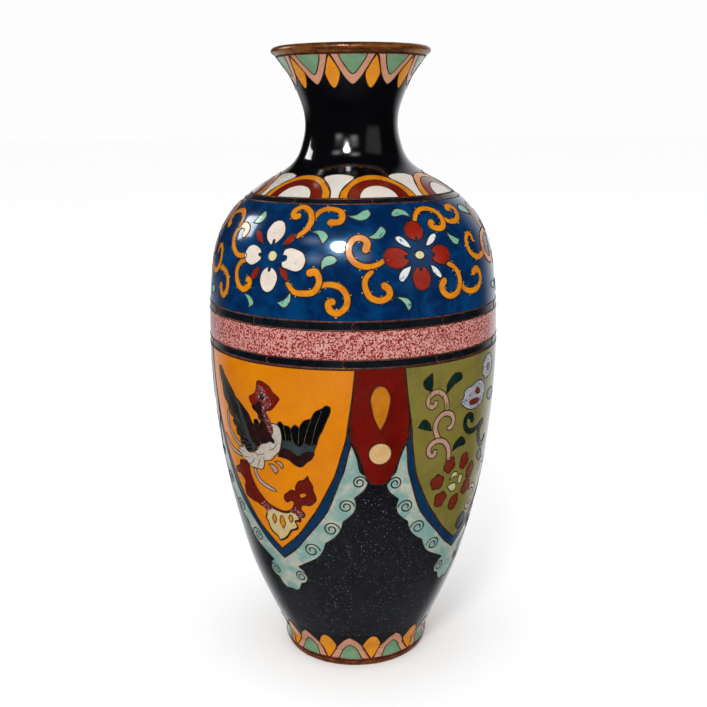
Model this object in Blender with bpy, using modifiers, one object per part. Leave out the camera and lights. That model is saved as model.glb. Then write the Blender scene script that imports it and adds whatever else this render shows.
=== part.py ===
"""Cloisonne baluster vase: a copper body in three soldered parts, a copper lip and foot,
counter-enamel inside, and an outer skin of enamel fields parted by copper wires.

Frame: +Z up along the vase's axis, origin at the centre of the foot's resting face.
Lengths here are in millimetres, and MM turns them into Blender's metres. A place on the vase is
given as (run, depth): run is the length along the outer profile from the foot's resting edge,
and depth is how far below the outer enamel surface, square to it.
"""

import math

import bmesh
import bpy
import numpy as np
from mathutils import Matrix

MM = 0.001

# --- driving dimensions ------------------------------------------------------------------------
HEIGHT = 184.0
SEGMENTS = 32  # a multiple of 4, so that a quarter turn lays one facet on the next
QUARTERS = 4  # shields and lappets round the vase

# Outer profile of the enamel as (height, radius): foot, swelling body, waisted neck, flared lip.
PROFILE = [
    (0.0, 22.1),
    (2.4, 22.7),
    (5.4, 22.6),
    (9.2, 24.3),
    (18.4, 28.5),
    (29.4, 32.8),
    (44.2, 36.8),
    (58.9, 39.9),
    (73.6, 41.9),
    (88.3, 43.1),
    (101.2, 43.35),
    (112.2, 42.95),
    (121.4, 42.0),
    (128.8, 40.5),
    (135.2, 37.6),
    (140.8, 33.0),
    (145.4, 26.8),
    (150.9, 18.1),
    (158.2, 14.25),
    (165.6, 13.9),
    (171.1, 15.65),
    (175.7, 17.75),
    (179.4, 20.3),
    (183.0, 23.1),
]
# Runs at which the turned layers have their edges, so that every layer bends at the same places.
KNOTS = [0.0, 1.2, 3.2, 6.5, 12.6, 27.0, 45.0, 65.0, 84.0, 103.0, 115.7, 125.0, 131.5, 137.0, 142.0,
         146.5, 150.8, 154.5, 158.0, 163.0, 170.0, 178.0, 187.4, 193.5, 199.8]

ENAMEL = 0.8  # thickness of the outer enamel
COPPER = 0.9  # thickness of the copper wall
LINING = 0.5  # thickness of the counter-enamel
SEAT = 0.1  # clearance between one layer and the next
COPPER_OUT = ENAMEL + SEAT
COPPER_IN = COPPER_OUT + COPPER
LINING_OUT = COPPER_IN + SEAT
LINING_IN = LINING_OUT + LINING

WIRE = 0.35  # width of a ring wire seen from outside
JOINT = 0.08  # clearance between a wire and the enamel beside it
HALF_GAP = WIRE / 2 + JOINT

# Runs at which one band of enamel gives way to the next.
FOOT_TOP = 3.2
FOOT_COLLAR_TOP = 12.6
FIELD_TOP = 102.9
LOWER_BORDER_TOP = 105.4
SPECKLED_TOP = 113.0
MIDDLE_BORDER_TOP = 115.7
SCROLL_BAND_TOP = 148.3
UPPER_BORDER_TOP = 150.8
SCALLOP_TOP = 161.4
NECK_TOP = 187.4
LIP_RUN = 198.2

# The soldered laps of the copper.
NECK_SEAM = 158.0
LAP = 3.5
LIP_GROOVE = 1.2

# Foot and base.
FOOT_INNER = 20.0
FOOT_UPSTAND_OUTER = 20.65
FOOT_UPSTAND_TOP = 6.0
BASE_DISC_RADIUS = 20.65
BASE_DISC_THICKNESS = 0.9
BASE_ENAMEL_THICKNESS = 0.6
FLOOR_THICKNESS = 0.5

# The lip's bead, from its inner edge over the top to its outer edge: radius, and how far below the top.
LIP_BEAD = [(19.8, 1.1), (20.4, 0.3), (21.2, 0.0), (22.1, 0.4), (22.6, 1.2), (22.4, 2.0)]

# Shields and lappets. Angles are degrees from each piece's own centre line, then the run.
SHIELD_CENTRE = -35.5
LAPPET_CENTRE = 9.5
APEX_HEIGHT = 70.0  # height of the point of the axis from which the shields' outlines are cut
CUT_GAP = 0.3  # clearance between neighbouring enamel pieces of the shields
DEGREE_ARC = 0.7  # length of one degree round the body where the shields lie
FIELD_EDGE = [(36.0, 102.6), (35.0, 95.0), (33.6, 88.3), (32.4, 82.6), (30.4, 77.6), (28.2, 72.4),
              (25.0, 67.5), (21.0, 62.1), (17.3, 58.1), (10.2, 51.5), (0.0, 45.3)]
BORDER_EDGE = [(33.4, 81.9), (33.3, 78.6), (31.8, 74.6), (29.7, 70.5), (25.0, 61.9), (21.0, 57.4),
               (12.2, 49.8), (7.5, 46.2), (0.0, 42.1)]
SCROLL_EDGE = [(34.6, 80.2), (36.6, 77.4), (38.0, 74.2), (39.8, 70.6), (38.0, 66.5), (35.2, 62.0),
               (30.6, 56.8), (25.6, 51.2), (19.0, 45.2), (11.0, 41.2), (8.0, 39.4), (10.8, 36.4),
               (7.0, 33.0), (3.8, 30.3), (0.0, 30.4)]
LAPPET_EDGE = [(8.7, 102.6), (10.4, 92.0), (11.3, 83.0), (9.8, 81.3), (7.9, 78.2), (6.4, 74.6),
               (4.8, 71.6), (3.0, 69.8), (0.0, 69.3)]

# --- colours: red, green, blue, then roughness and metallic value -------------------------------
FINISHES = {
    "copper": ((0.45, 0.21, 0.09), 0.35, 1.0),
    "wire": ((0.30, 0.14, 0.06), 0.45, 1.0),
    "black_enamel": ((0.006, 0.007, 0.009), 0.08, 0.0),
    "goldstone_enamel": ((0.008, 0.012, 0.02), 0.15, 0.0),
    "blue_enamel": ((0.0, 0.045, 0.16), 0.08, 0.0),
    "white_enamel": ((0.75, 0.68, 0.58), 0.12, 0.0),
    "speckled_enamel": ((0.62, 0.28, 0.27), 0.15, 0.0),
    "yellow_enamel": ((0.80, 0.33, 0.02), 0.1, 0.0),
    "olive_enamel": ((0.22, 0.22, 0.05), 0.1, 0.0),
    "red_enamel": ((0.24, 0.015, 0.006), 0.1, 0.0),
    "green_enamel": ((0.25, 0.45, 0.35), 0.12, 0.0),
    "sea_enamel": ((0.42, 0.64, 0.60), 0.12, 0.0),
    "counter_enamel": ((0.05, 0.28, 0.33), 0.2, 0.0),
}


# --- the profile --------------------------------------------------------------------------------
def smooth_profile(samples_per_span=40):
    """Points of a smooth curve through PROFILE, each slope taken from the two neighbours."""
    points = np.array(PROFILE)
    heights, radii = points[:, 0], points[:, 1]
    slopes = np.gradient(radii, heights)
    curve = []
    for i in range(len(points) - 1):
        span = heights[i + 1] - heights[i]
        for t in np.linspace(0.0, 1.0, samples_per_span, endpoint=False):
            start = (1 + 2 * t) * (1 - t) ** 2 * radii[i] + t * (1 - t) ** 2 * span * slopes[i]
            end = t * t * (3 - 2 * t) * radii[i + 1] + t * t * (t - 1) * span * slopes[i + 1]
            curve.append((heights[i] + t * span, start + end))
    curve.append(tuple(points[-1]))
    return np.array(curve)


CURVE = smooth_profile()
RUNS = np.concatenate([[0.0], np.cumsum(np.hypot(*np.diff(CURVE, axis=0).T))])


def height_at(run):
    return float(np.interp(run, RUNS, CURVE[:, 0]))


def knot_place(run, depth):
    """(radius, height) at a knot, with the depth laid off square to the smooth curve."""
    low, high = max(run - 0.05, 0.0), run + 0.05
    rise = height_at(high) - height_at(low)
    swell = float(np.interp(high, RUNS, CURVE[:, 1]) - np.interp(low, RUNS, CURVE[:, 1]))
    length = math.hypot(rise, swell)
    radius = float(np.interp(run, RUNS, CURVE[:, 1])) - depth * rise / length
    return radius, height_at(run) + depth * swell / length


def place(run, depth):
    """(radius, height) of a place on the vase, on the straight between the two knots beside it."""
    upper = next(i for i in range(1, len(KNOTS)) if run <= KNOTS[i] or i == len(KNOTS) - 1)
    low, high = KNOTS[upper - 1], KNOTS[upper]
    share = (run - low) / (high - low)
    start, end = knot_place(low, depth), knot_place(high, depth)
    return start[0] + share * (end[0] - start[0]), start[1] + share * (end[1] - start[1])


def run_at(height, depth):
    """The run whose place at this depth is at this height."""
    low, high = 0.0, KNOTS[-1]
    for _ in range(40):
        middle = (low + high) / 2
        if place(middle, depth)[1] < height:
            low = middle
        else:
            high = middle
    return high


# --- building blocks ----------------------------------------------------------------------------
def finish(name):
    """One Principled material for each finish, made the first time it is asked for."""
    material = bpy.data.materials.get(name)
    if material is None:
        colour, roughness, metallic = FINISHES[name]
        material = bpy.data.materials.new(name)
        material.use_nodes = True
        shader = material.node_tree.nodes["Principled BSDF"]
        shader.inputs["Base Color"].default_value = (*colour, 1.0)
        shader.inputs["Roughness"].default_value = roughness
        shader.inputs["Metallic"].default_value = metallic
        material.diffuse_color = (*colour, 1.0)
    return material


def add_object(name, mesh, material, collection, parent):
    obj = bpy.data.objects.new(name, mesh)
    if not mesh.materials:
        mesh.materials.append(finish(material))
    collection.objects.link(obj)
    obj.parent = parent
    return obj


def turned(name, outline, material, collection, parent):
    """A ring turned from a closed outline of (radius, height), listed down its outer side first."""
    mesh = bpy.data.meshes.new(name)
    points = [(radius * MM, 0.0, height * MM) for radius, height in outline]
    edges = [(i, (i + 1) % len(points)) for i in range(len(points))]
    mesh.from_pydata(points, edges, [])
    obj = add_object(name, mesh, material, collection, parent)
    screw = obj.modifiers.new("turn", "SCREW")
    screw.axis = "Z"
    screw.angle = 2 * math.pi
    screw.steps = SEGMENTS
    screw.render_steps = SEGMENTS
    screw.use_merge_vertices = True
    screw.merge_threshold = 0.00001
    return obj


def stations(low, high):
    """Both ends and every knot well between them."""
    return [low] + [run for run in KNOTS if low + 0.5 < run < high - 0.5] + [high]


def side(low, high, depth):
    """The places at one depth between two runs, from the bottom up."""
    return [place(run, depth) for run in stations(low, high)]


def skin_outline(low, high, outer, inner):
    """The section of a band between two runs and two depths, outer side first, from the top down."""
    return side(low, high, outer)[::-1] + side(low, high, inner)


def disc(name, radius, low, high, material, collection, parent):
    """A flat disc on the axis, from one height to another."""
    mesh = bpy.data.meshes.new(name)
    bm = bmesh.new()
    bmesh.ops.create_cone(
        bm,
        cap_ends=True,
        segments=SEGMENTS,
        radius1=radius * MM,
        radius2=radius * MM,
        depth=(high - low) * MM,
        matrix=Matrix.Translation((0.0, 0.0, (low + high) / 2 * MM)),
    )
    bm.to_mesh(mesh)
    bm.free()
    return add_object(name, mesh, material, collection, parent)


# --- copper -------------------------------------------------------------------------------------
def build_copper(collection, parent):
    body_low = FOOT_TOP + SEAT
    lap_low = NECK_SEAM - LAP
    lap_middle = (COPPER_OUT + COPPER_IN) / 2
    lap = side(lap_low, NECK_SEAM, lap_middle + SEAT / 2)[::-1]
    outer = side(body_low, lap_low, COPPER_OUT)[::-1]
    inner = side(body_low, NECK_SEAM, COPPER_IN)
    turned("copper_body", lap + outer + inner, "copper", collection, parent)

    neck_high = LIP_RUN + LIP_GROOVE
    outer = side(lap_low + SEAT, neck_high, COPPER_OUT)[::-1]
    skirt = side(lap_low + SEAT, NECK_SEAM + SEAT, lap_middle - SEAT / 2)
    inner = side(NECK_SEAM + SEAT, neck_high, COPPER_IN)
    turned("copper_neck", outer + skirt + inner, "copper", collection, parent)

    low = FOOT_UPSTAND_TOP + SEAT
    disc("copper_base", BASE_DISC_RADIUS, low, low + BASE_DISC_THICKNESS, "copper", collection, parent)


def build_foot_ring(collection, parent):
    """The ring that the vase stands on, with an upstand inside the body that carries the base disc."""
    shoulder_radius, shoulder_height = place(FOOT_TOP, 0.0)
    outline = [
        (FOOT_UPSTAND_OUTER, FOOT_UPSTAND_TOP),
        (FOOT_UPSTAND_OUTER, shoulder_height),
        (shoulder_radius, shoulder_height),
        place(1.2, 0.0),
        (place(0.0, 0.0)[0] - 0.3, 0.0),
        (FOOT_INNER, 0.0),
        (FOOT_INNER, FOOT_UPSTAND_TOP),
    ]
    turned("foot_ring", outline, "copper", collection, parent)


def build_lip_ring(collection, parent):
    """A rolled rim whose groove holds the edges of the neck."""
    groove = LIP_RUN + LIP_GROOVE + SEAT
    bead = [(radius, HEIGHT - drop) for radius, drop in LIP_BEAD]
    outer = [place(LIP_RUN, 0.0)]
    slot = [
        place(LIP_RUN, ENAMEL),
        place(groove, ENAMEL),
        place(groove, LINING_OUT),
        place(LIP_RUN, LINING_OUT),
    ]
    inner = [place(LIP_RUN, LINING_IN)]
    turned("lip_ring", bead + outer + slot + inner, "copper", collection, parent)


# --- counter-enamel -----------------------------------------------------------------------------
def build_lining(collection, parent):
    floor = FOOT_UPSTAND_TOP + SEAT + BASE_DISC_THICKNESS + SEAT
    floor_top = floor + FLOOR_THICKNESS
    outer = side(run_at(floor, LINING_OUT), NECK_SEAM, LINING_OUT)[::-1]
    inner = side(run_at(floor_top, LINING_IN), NECK_SEAM, LINING_IN)
    cup = [(0.0, floor), (0.0, floor_top)]
    turned("body_lining", outer + cup + inner, "counter_enamel", collection, parent)

    outline = skin_outline(NECK_SEAM + SEAT, LIP_RUN - SEAT, LINING_OUT, LINING_IN)
    turned("neck_lining", outline, "counter_enamel", collection, parent)

    top = FOOT_UPSTAND_TOP
    low = top - BASE_ENAMEL_THICKNESS
    disc("base_enamel", FOOT_INNER - SEAT, low, top, "counter_enamel", collection, parent)


# --- outer bands --------------------------------------------------------------------------------
BANDS = [
    # name, lower run, upper run, finish
    ("foot_collar_enamel", FOOT_TOP, FOOT_COLLAR_TOP, "green_enamel"),
    ("lower_border_enamel", FIELD_TOP, LOWER_BORDER_TOP, "goldstone_enamel"),
    ("speckled_band_enamel", LOWER_BORDER_TOP, SPECKLED_TOP, "speckled_enamel"),
    ("middle_border_enamel", SPECKLED_TOP, MIDDLE_BORDER_TOP, "goldstone_enamel"),
    ("scroll_band_enamel", MIDDLE_BORDER_TOP, SCROLL_BAND_TOP, "blue_enamel"),
    ("upper_border_enamel", SCROLL_BAND_TOP, UPPER_BORDER_TOP, "goldstone_enamel"),
    ("scallop_band_enamel", UPPER_BORDER_TOP, SCALLOP_TOP, "white_enamel"),
    ("neck_enamel", SCALLOP_TOP, NECK_TOP, "black_enamel"),
    ("neck_collar_enamel", NECK_TOP, LIP_RUN, "green_enamel"),
]

RING_WIRES = {
    "foot_wire": FOOT_TOP + HALF_GAP,
    "lower_border_wire_bottom": FIELD_TOP,
    "lower_border_wire_top": LOWER_BORDER_TOP,
    "middle_border_wire_bottom": SPECKLED_TOP,
    "middle_border_wire_top": MIDDLE_BORDER_TOP,
    "upper_border_wire_bottom": SCROLL_BAND_TOP,
    "upper_border_wire_top": UPPER_BORDER_TOP,
    "lip_wire": LIP_RUN - HALF_GAP,
}


def build_bands(collection, parent):
    for name, low, high, material in BANDS:
        bottom = low + (2 * HALF_GAP if low == FOOT_TOP else HALF_GAP)
        top = high - (2 * HALF_GAP if high == LIP_RUN else HALF_GAP)
        turned(name, skin_outline(bottom, top, 0.0, ENAMEL), material, collection, parent)


def build_ring_wires(collection, parent):
    for name, run in RING_WIRES.items():
        outline = skin_outline(run - WIRE / 2, run + WIRE / 2, 0.0, ENAMEL)
        turned(name, outline, "wire", collection, parent)


# --- shields, borders and lappets ---------------------------------------------------------------
def mirrored(half):
    """A whole path from its right half, which runs from the top down to the centre line."""
    return half + [(-angle, run) for angle, run in reversed(half[:-1])]


def grown(half, distance):
    """The right half of a path moved outwards, which is down and away from the centre line."""
    points = [(angle * DEGREE_ARC, run) for angle, run in half]
    normals = []
    for start, end in zip(points, points[1:]):
        across, along = end[0] - start[0], end[1] - start[1]
        length = math.hypot(across, along)
        normals.append((-along / length, across / length))
    normals = [normals[0]] + normals + [(-normals[-1][0], normals[-1][1])]
    moved = []
    for point, before, after in zip(points, normals, normals[1:]):
        middle = (before[0] + after[0], before[1] + after[1])
        scale = 2 * distance / (middle[0] ** 2 + middle[1] ** 2)
        moved.append(((point[0] + scale * middle[0]) / DEGREE_ARC, point[1] + scale * middle[1]))
    moved[-1] = (0.0, moved[-1][1])
    return moved


def radial_cutter(name, outline, centre, collection):
    """A wedge from near the axis to outside the vase whose section is an outline on the vase.

    Its walls all pass through one point of the axis, so each of them is flat. It ends on two planes
    that are square to the centre line.
    """
    near, far = 8.0, 62.0
    bm = bmesh.new()
    rings = []
    for distance in (near, far):
        ring = []
        for angle, run in outline:
            radius, height = place(run, 0.0)
            scale = distance / (radius * math.cos(math.radians(angle)))
            side_step = distance * math.tan(math.radians(angle))
            rise = APEX_HEIGHT + scale * (height - APEX_HEIGHT)
            ring.append(bm.verts.new((side_step * MM, -distance * MM, rise * MM)))
        rings.append(ring)
        bm.faces.new(ring)
    for i in range(len(outline)):
        j = (i + 1) % len(outline)
        bm.faces.new((rings[0][i], rings[0][j], rings[1][j], rings[1][i]))
    bmesh.ops.triangulate(bm, faces=bm.faces)
    bmesh.ops.recalc_face_normals(bm, faces=bm.faces)
    bm.transform(Matrix.Rotation(math.radians(centre), 4, "Z"))
    mesh = bpy.data.meshes.new(name)
    bm.to_mesh(mesh)
    bm.free()
    cutter = bpy.data.objects.new(name, mesh)
    collection.objects.link(cutter)
    cutter.hide_render = True
    cutter.display_type = "WIRE"
    return cutter


def cut_with(obj, cutter, operation):
    boolean = obj.modifiers.new(cutter.name, "BOOLEAN")
    boolean.operation = operation
    boolean.object = cutter


FIELD_LOW = FOOT_COLLAR_TOP + HALF_GAP
FIELD_HIGH = FIELD_TOP - HALF_GAP


def quarter_pieces(name, outline, centre, materials, collection, cutters, parent):
    """The same piece of skin four times round the vase, cut from the field by one outline."""
    for i in range(QUARTERS):
        turn = centre + i * 360.0 / QUARTERS
        cutter = radial_cutter(f"{name}_cutter_{i + 1}", outline, turn, cutters)
        section = skin_outline(FIELD_LOW, FIELD_HIGH, 0.0, ENAMEL)
        piece = turned(f"{name}_{i + 1}", section, materials[i % len(materials)], collection, parent)
        cut_with(piece, cutter, "INTERSECT")


def build_field(collection, cutters, parent):
    over = 110.0  # a run above the field, so that a cut runs out through its top edge
    field_top = [(FIELD_EDGE[0][0], over)] + FIELD_EDGE
    quarter_pieces(
        "shield_field", mirrored(field_top), SHIELD_CENTRE,
        ["yellow_enamel", "olive_enamel"], collection, cutters, parent,
    )
    border = mirrored(BORDER_EDGE) + mirrored(grown(FIELD_EDGE[3:], CUT_GAP))[::-1]
    quarter_pieces("shield_border", border, SHIELD_CENTRE, ["blue_enamel"], collection, cutters, parent)

    scroll = mirrored(SCROLL_EDGE) + mirrored(grown(BORDER_EDGE[1:], CUT_GAP))[::-1]
    quarter_pieces("scroll_border", scroll, SHIELD_CENTRE, ["sea_enamel"], collection, cutters, parent)

    lappet_top = [(LAPPET_EDGE[0][0], over)] + LAPPET_EDGE
    quarter_pieces("lappet", mirrored(lappet_top), LAPPET_CENTRE, ["red_enamel"], collection, cutters, parent)

    section = skin_outline(FIELD_LOW, FIELD_HIGH, 0.0, ENAMEL)
    ground = turned("lower_ground_enamel", section, "black_enamel", collection, parent)
    lappet_foot = LAPPET_EDGE[-1][1] - CUT_GAP
    sides = [(45.4, over), (45.4, lappet_foot), (41.6, lappet_foot)]
    opening = sides + grown(SCROLL_EDGE[3:], CUT_GAP)
    for i in range(QUARTERS):
        turn = SHIELD_CENTRE + i * 360.0 / QUARTERS
        cut_with(ground, radial_cutter(f"ground_cutter_{i + 1}", mirrored(opening), turn, cutters), "DIFFERENCE")


# --- assembly -----------------------------------------------------------------------------------
def main():
    for obj in list(bpy.data.objects):
        bpy.data.objects.remove(obj)
    vase = bpy.data.collections.new("cloisonne_vase")
    cutters = bpy.data.collections.new("cutters")
    bpy.context.scene.collection.children.link(vase)
    bpy.context.scene.collection.children.link(cutters)
    axis = bpy.data.objects.new("vase_axis", None)
    vase.objects.link(axis)

    build_copper(vase, axis)
    build_foot_ring(vase, axis)
    build_lip_ring(vase, axis)
    build_lining(vase, axis)
    build_bands(vase, axis)
    build_ring_wires(vase, axis)
    build_field(vase, cutters, axis)


main()
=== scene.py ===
"""Looks of the cloisonne baluster vase.

Lengths are in millimetres and MM turns them into metres. A place on the vase is (angle, run): the
angle in degrees round the axis, 0 at the front (-Y) and growing towards +X, and the run along the
outer profile from the foot's resting edge. Lift is the height above the enamel's surface.
"""
import math
import random

import bpy
import numpy as np
from mathutils import Matrix, Vector
from mathutils.geometry import delaunay_2d_cdt


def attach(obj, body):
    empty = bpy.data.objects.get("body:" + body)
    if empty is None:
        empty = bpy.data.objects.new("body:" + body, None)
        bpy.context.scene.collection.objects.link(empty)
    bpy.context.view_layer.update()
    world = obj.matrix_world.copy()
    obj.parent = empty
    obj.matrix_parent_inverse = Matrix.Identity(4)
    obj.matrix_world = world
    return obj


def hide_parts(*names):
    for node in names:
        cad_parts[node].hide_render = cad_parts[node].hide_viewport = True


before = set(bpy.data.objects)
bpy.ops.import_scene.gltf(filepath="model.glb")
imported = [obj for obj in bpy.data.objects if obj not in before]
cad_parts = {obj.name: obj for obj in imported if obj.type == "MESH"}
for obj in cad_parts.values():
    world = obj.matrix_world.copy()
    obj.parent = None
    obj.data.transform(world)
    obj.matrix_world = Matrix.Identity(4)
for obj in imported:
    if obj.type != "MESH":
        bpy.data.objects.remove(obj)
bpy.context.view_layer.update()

MM = 0.001
SKIN = -0.13  # the enamel's surface lies this far inside the CAD's, so that raised wires stay in its box
TURNS = 240  # facets round a lathe-turned surface
CHOICE = random.Random(7)

# Outer profile of the vase from the foot up: height, radius.
PROFILE = np.array([
    (0.0, 22.1), (2.4, 22.7), (5.4, 22.6), (9.2, 24.3), (18.4, 28.5), (29.4, 32.8), (44.2, 36.8),
    (58.9, 39.9), (73.6, 41.9), (88.3, 43.1), (101.2, 43.35), (112.2, 42.95), (121.4, 42.0), (128.8, 40.5),
    (135.2, 37.6), (140.8, 33.0), (145.4, 26.8), (150.9, 18.1), (158.2, 14.25), (165.6, 13.9),
    (171.1, 15.65), (175.7, 17.75), (179.4, 20.3), (183.0, 23.1),
])

# Runs where one band gives way to the next.
FOOT_TOP = 2.1
FIELD_LOW = 12.6
FIELD_TOP = 102.9
SPECKLED_LOW = 105.4
SPECKLED_TOP = 113.0
SCROLLS_LOW = 115.7
SCROLLS_TOP = 148.3
SCALLOPS_LOW = 150.8
SCALLOPS_TOP = 161.4
NECK_TOP = 187.4
LIP_LOW = 198.2

# Lifts of the enamel cells and of the wires, each layer clear of the one below it, and widths of wires.
CELL = 0.03
CELL_ON_CELL = 0.05
TOP_CELL = 0.07
CREST_CELL = 0.09
PETAL_CELL = 0.1
WIRE_FOOT = 0.02
WIRE_CREST = 0.115
WIRE_WIDTH = 0.34
RIM_WIDTH = 0.6
RING_WIRE_WIDTH = 0.46
SPIRAL_WIDTH = 0.42
LAPPET_WIRE_WIDTH = 0.3
JOINT_WIRE_WIDTH = 0.26
SPOT_WIRE_WIDTH = 0.22
HEART_WIRE_WIDTH = 0.2
TUCK = 0.01  # how far below its cell's top a wire starts
CELL_DEPTH = 0.2  # how far cells and wires reach down from their lift
GRID = 1.25  # spacing of the points inside a cell, so that it follows the vase's curve
FIELD_GRID = 1.4  # the same in the shields' fields
SMALL_GRID = 0.8  # and in the collars, where the vase curves most
MOTIF_SPACING = 0.4  # spacing of the points along a motif's outline
SHIELD_SPACING = 0.5  # and along a shield's edge
RING_INSET = 0.18  # from a border's edge to the middle of its ring wire
CLOSEST = 0.02  # points of a wire that lie closer than this are one point
SKIN_DEPTH = 0.55
SHARP = math.radians(35)


# --- the surface --------------------------------------------------------------------------------
def smooth_profile(samples=60):
    heights, radii = PROFILE[:, 0], PROFILE[:, 1]
    slopes = np.gradient(radii, heights)
    curve = []
    for i in range(len(PROFILE) - 1):
        span = heights[i + 1] - heights[i]
        for t in np.linspace(0.0, 1.0, samples, endpoint=False):
            start = (1 + 2 * t) * (1 - t) ** 2 * radii[i] + t * (1 - t) ** 2 * span * slopes[i]
            end = t * t * (3 - 2 * t) * radii[i + 1] + t * t * (t - 1) * span * slopes[i + 1]
            curve.append((heights[i] + t * span, start + end))
    curve.append(tuple(PROFILE[-1]))
    return np.array(curve)


CURVE = smooth_profile()
STEPS = np.diff(CURVE, axis=0)
RUNS = np.concatenate([[0.0], np.cumsum(np.hypot(STEPS[:, 0], STEPS[:, 1]))])
LENGTHS = np.hypot(*np.gradient(CURVE, axis=0).T)
NORMAL_R = np.gradient(CURVE[:, 0]) / LENGTHS
NORMAL_Z = -np.gradient(CURVE[:, 1]) / LENGTHS


def section(run, lift=0.0):
    """(radius, height, outward normal's radius part, its height part) at a run."""
    across = np.interp(run, RUNS, NORMAL_R)
    along = np.interp(run, RUNS, NORMAL_Z)
    radius = np.interp(run, RUNS, CURVE[:, 1]) + (lift + SKIN) * across
    height = np.interp(run, RUNS, CURVE[:, 0]) + (lift + SKIN) * along
    return radius, height, across, along


def on_vase(places, lift=0.0):
    """Points in metres and outward normals of an array of (angle, run)."""
    places = np.asarray(places, dtype=float)
    angle = np.radians(places[:, 0])
    radius, height, across, along = section(places[:, 1], lift)
    points = np.stack([radius * np.sin(angle), -radius * np.cos(angle), height], axis=1) * MM
    normals = np.stack([across * np.sin(angle), -across * np.cos(angle), along], axis=1)
    return points, normals


def degree_length(run):
    """Millimetres of one degree round the vase at this run."""
    return float(np.interp(run, RUNS, CURVE[:, 1])) * math.pi / 180.0


# --- paths --------------------------------------------------------------------------------------
def path(points, closed=True, spacing=0.35):
    """A dense smooth path through (angle, run) points. A third value in a point makes it a corner."""
    places = [np.array(p[:2], dtype=float) for p in points]
    corner = [len(p) > 2 for p in points]
    count = len(places)
    dense = []
    for i in range(count if closed else count - 1):
        j = (i + 1) % count
        start, end = places[i], places[j]
        has_before = (closed or i > 0) and not corner[i]
        has_after = (closed or i + 2 < count) and not corner[j]
        before = places[i - 1] if has_before else 2 * start - end
        after = places[(i + 2) % count] if has_after else 2 * end - start
        reach = math.hypot((end[0] - start[0]) * degree_length(start[1]), end[1] - start[1])
        steps = max(2, int(reach / spacing))
        for t in np.arange(steps) / steps:
            dense.append(0.5 * (
                2 * start + (end - before) * t + (2 * before - 5 * start + 4 * end - after) * t ** 2
                + (3 * start - before - 3 * end + after) * t ** 3
            ))
    if not closed:
        dense.append(places[-1])
    return np.array(dense)


def mirrored(half):
    """A whole path from its right half, which runs from the top down to the centre line."""
    start = 1 if half[0][0] == 0.0 else 0
    return list(half) + [(-p[0], *p[1:]) for p in reversed(half[start:-1])]


def moved(places, angle):
    places = np.array(places, dtype=float)
    places[:, 0] += angle
    return places


def local(places, centre):
    """(angle, run) to millimetres on the surface's flat map round a centre."""
    scale = degree_length(centre[1])
    places = np.asarray(places, dtype=float)
    return np.stack([(places[:, 0] - centre[0]) * scale, places[:, 1] - centre[1]], axis=1)


def from_local(points, centre):
    scale = degree_length(centre[1])
    points = np.asarray(points, dtype=float)
    return np.stack([points[:, 0] / scale + centre[0], points[:, 1] + centre[1]], axis=1)


def stroke(points, start, middle, end):
    """The closed outline of a brush stroke along a path, with half-widths in mm and round ends."""
    line = path(points, closed=False)
    centre = line.mean(axis=0)
    line = local(line, centre)
    tangents = np.gradient(line, axis=0)
    tangents /= np.linalg.norm(tangents, axis=1)[:, None]
    sides = np.stack([-tangents[:, 1], tangents[:, 0]], axis=1)
    share = np.linspace(0.0, 1.0, len(line))
    half = np.interp(share, [0.0, 0.35, 0.75, 1.0], [start, middle, middle, end])[:, None]
    left, right = line + sides * half, line - sides * half

    def cap(tip, tangent, side, radius):
        turns = np.linspace(0.0, math.pi, 7)[1:-1]
        return [tip + radius * (side * math.cos(a) + tangent * math.sin(a)) for a in turns]

    far = cap(line[-1], tangents[-1], sides[-1], end)
    near = cap(line[0], -tangents[0], -sides[0], start)
    outline = np.array(list(left) + far + list(right[::-1]) + near)
    return from_local(outline[::-1], centre)


def disc(centre, radius, count=28, stretch=1.0):
    turns = np.linspace(0.0, 2 * math.pi, count, endpoint=False)
    return from_local(np.stack([radius * stretch * np.cos(turns), radius * np.sin(turns)], axis=1), centre)


def spiral(centre, radius, start, turns, hand=1, end_radius=0.35, count=44):
    """A volute from its outer end inwards. start is in degrees, hand is 1 for anticlockwise."""
    t = np.linspace(0.0, 1.0, count)
    reach = radius + (end_radius - radius) * t ** 0.85
    angle = math.radians(start) + hand * 2 * math.pi * turns * t
    return from_local(np.stack([reach * np.cos(angle), reach * np.sin(angle)], axis=1), centre)


def blob(places, amount, seed):
    """The same outline with a slight unevenness, as a hand-bent wire has."""
    places = np.array(places, dtype=float)
    count = len(places)
    wave = np.zeros(count)
    source = random.Random(seed + count)
    for harmonic in (2, 3, 5):
        wave += source.uniform(-1, 1) * np.sin(
            harmonic * np.linspace(0, 2 * math.pi, count, endpoint=False) + source.uniform(0, 6)
        ) / harmonic
    centre = places.mean(axis=0)
    flat = local(places, centre)
    lengths = np.linalg.norm(flat, axis=1)[:, None] + 1e-9
    return from_local(flat * (1 + amount * wave[:, None] / lengths), centre)


# --- pieces -------------------------------------------------------------------------------------
COLLECTION = bpy.data.collections.new("vase_looks")
bpy.context.scene.collection.children.link(COLLECTION)
PIECES = {}


class Piece:
    """One visible mesh, filled a shape at a time and made into an object at the end."""

    def __init__(self, name, material, slot, stands_for):
        self.name, self.material, self.slot, self.stands_for = name, material, slot, stands_for
        self.points, self.normals, self.faces, self.count = [], [], [], 0
        PIECES[name] = self

    def add(self, points, normals, faces):
        self.points.append(points)
        self.normals.append(normals)
        self.faces += [tuple(self.count + i for i in face) for face in faces]
        self.count += len(points)

    def build(self):
        mesh = bpy.data.meshes.new(self.name)
        mesh.from_pydata(np.concatenate(self.points).tolist(), [], self.faces)
        mesh.shade_smooth()
        mesh.normals_split_custom_set_from_vertices(np.concatenate(self.normals).tolist())
        place_object(self.name, mesh, self.material, self.stands_for)


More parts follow.
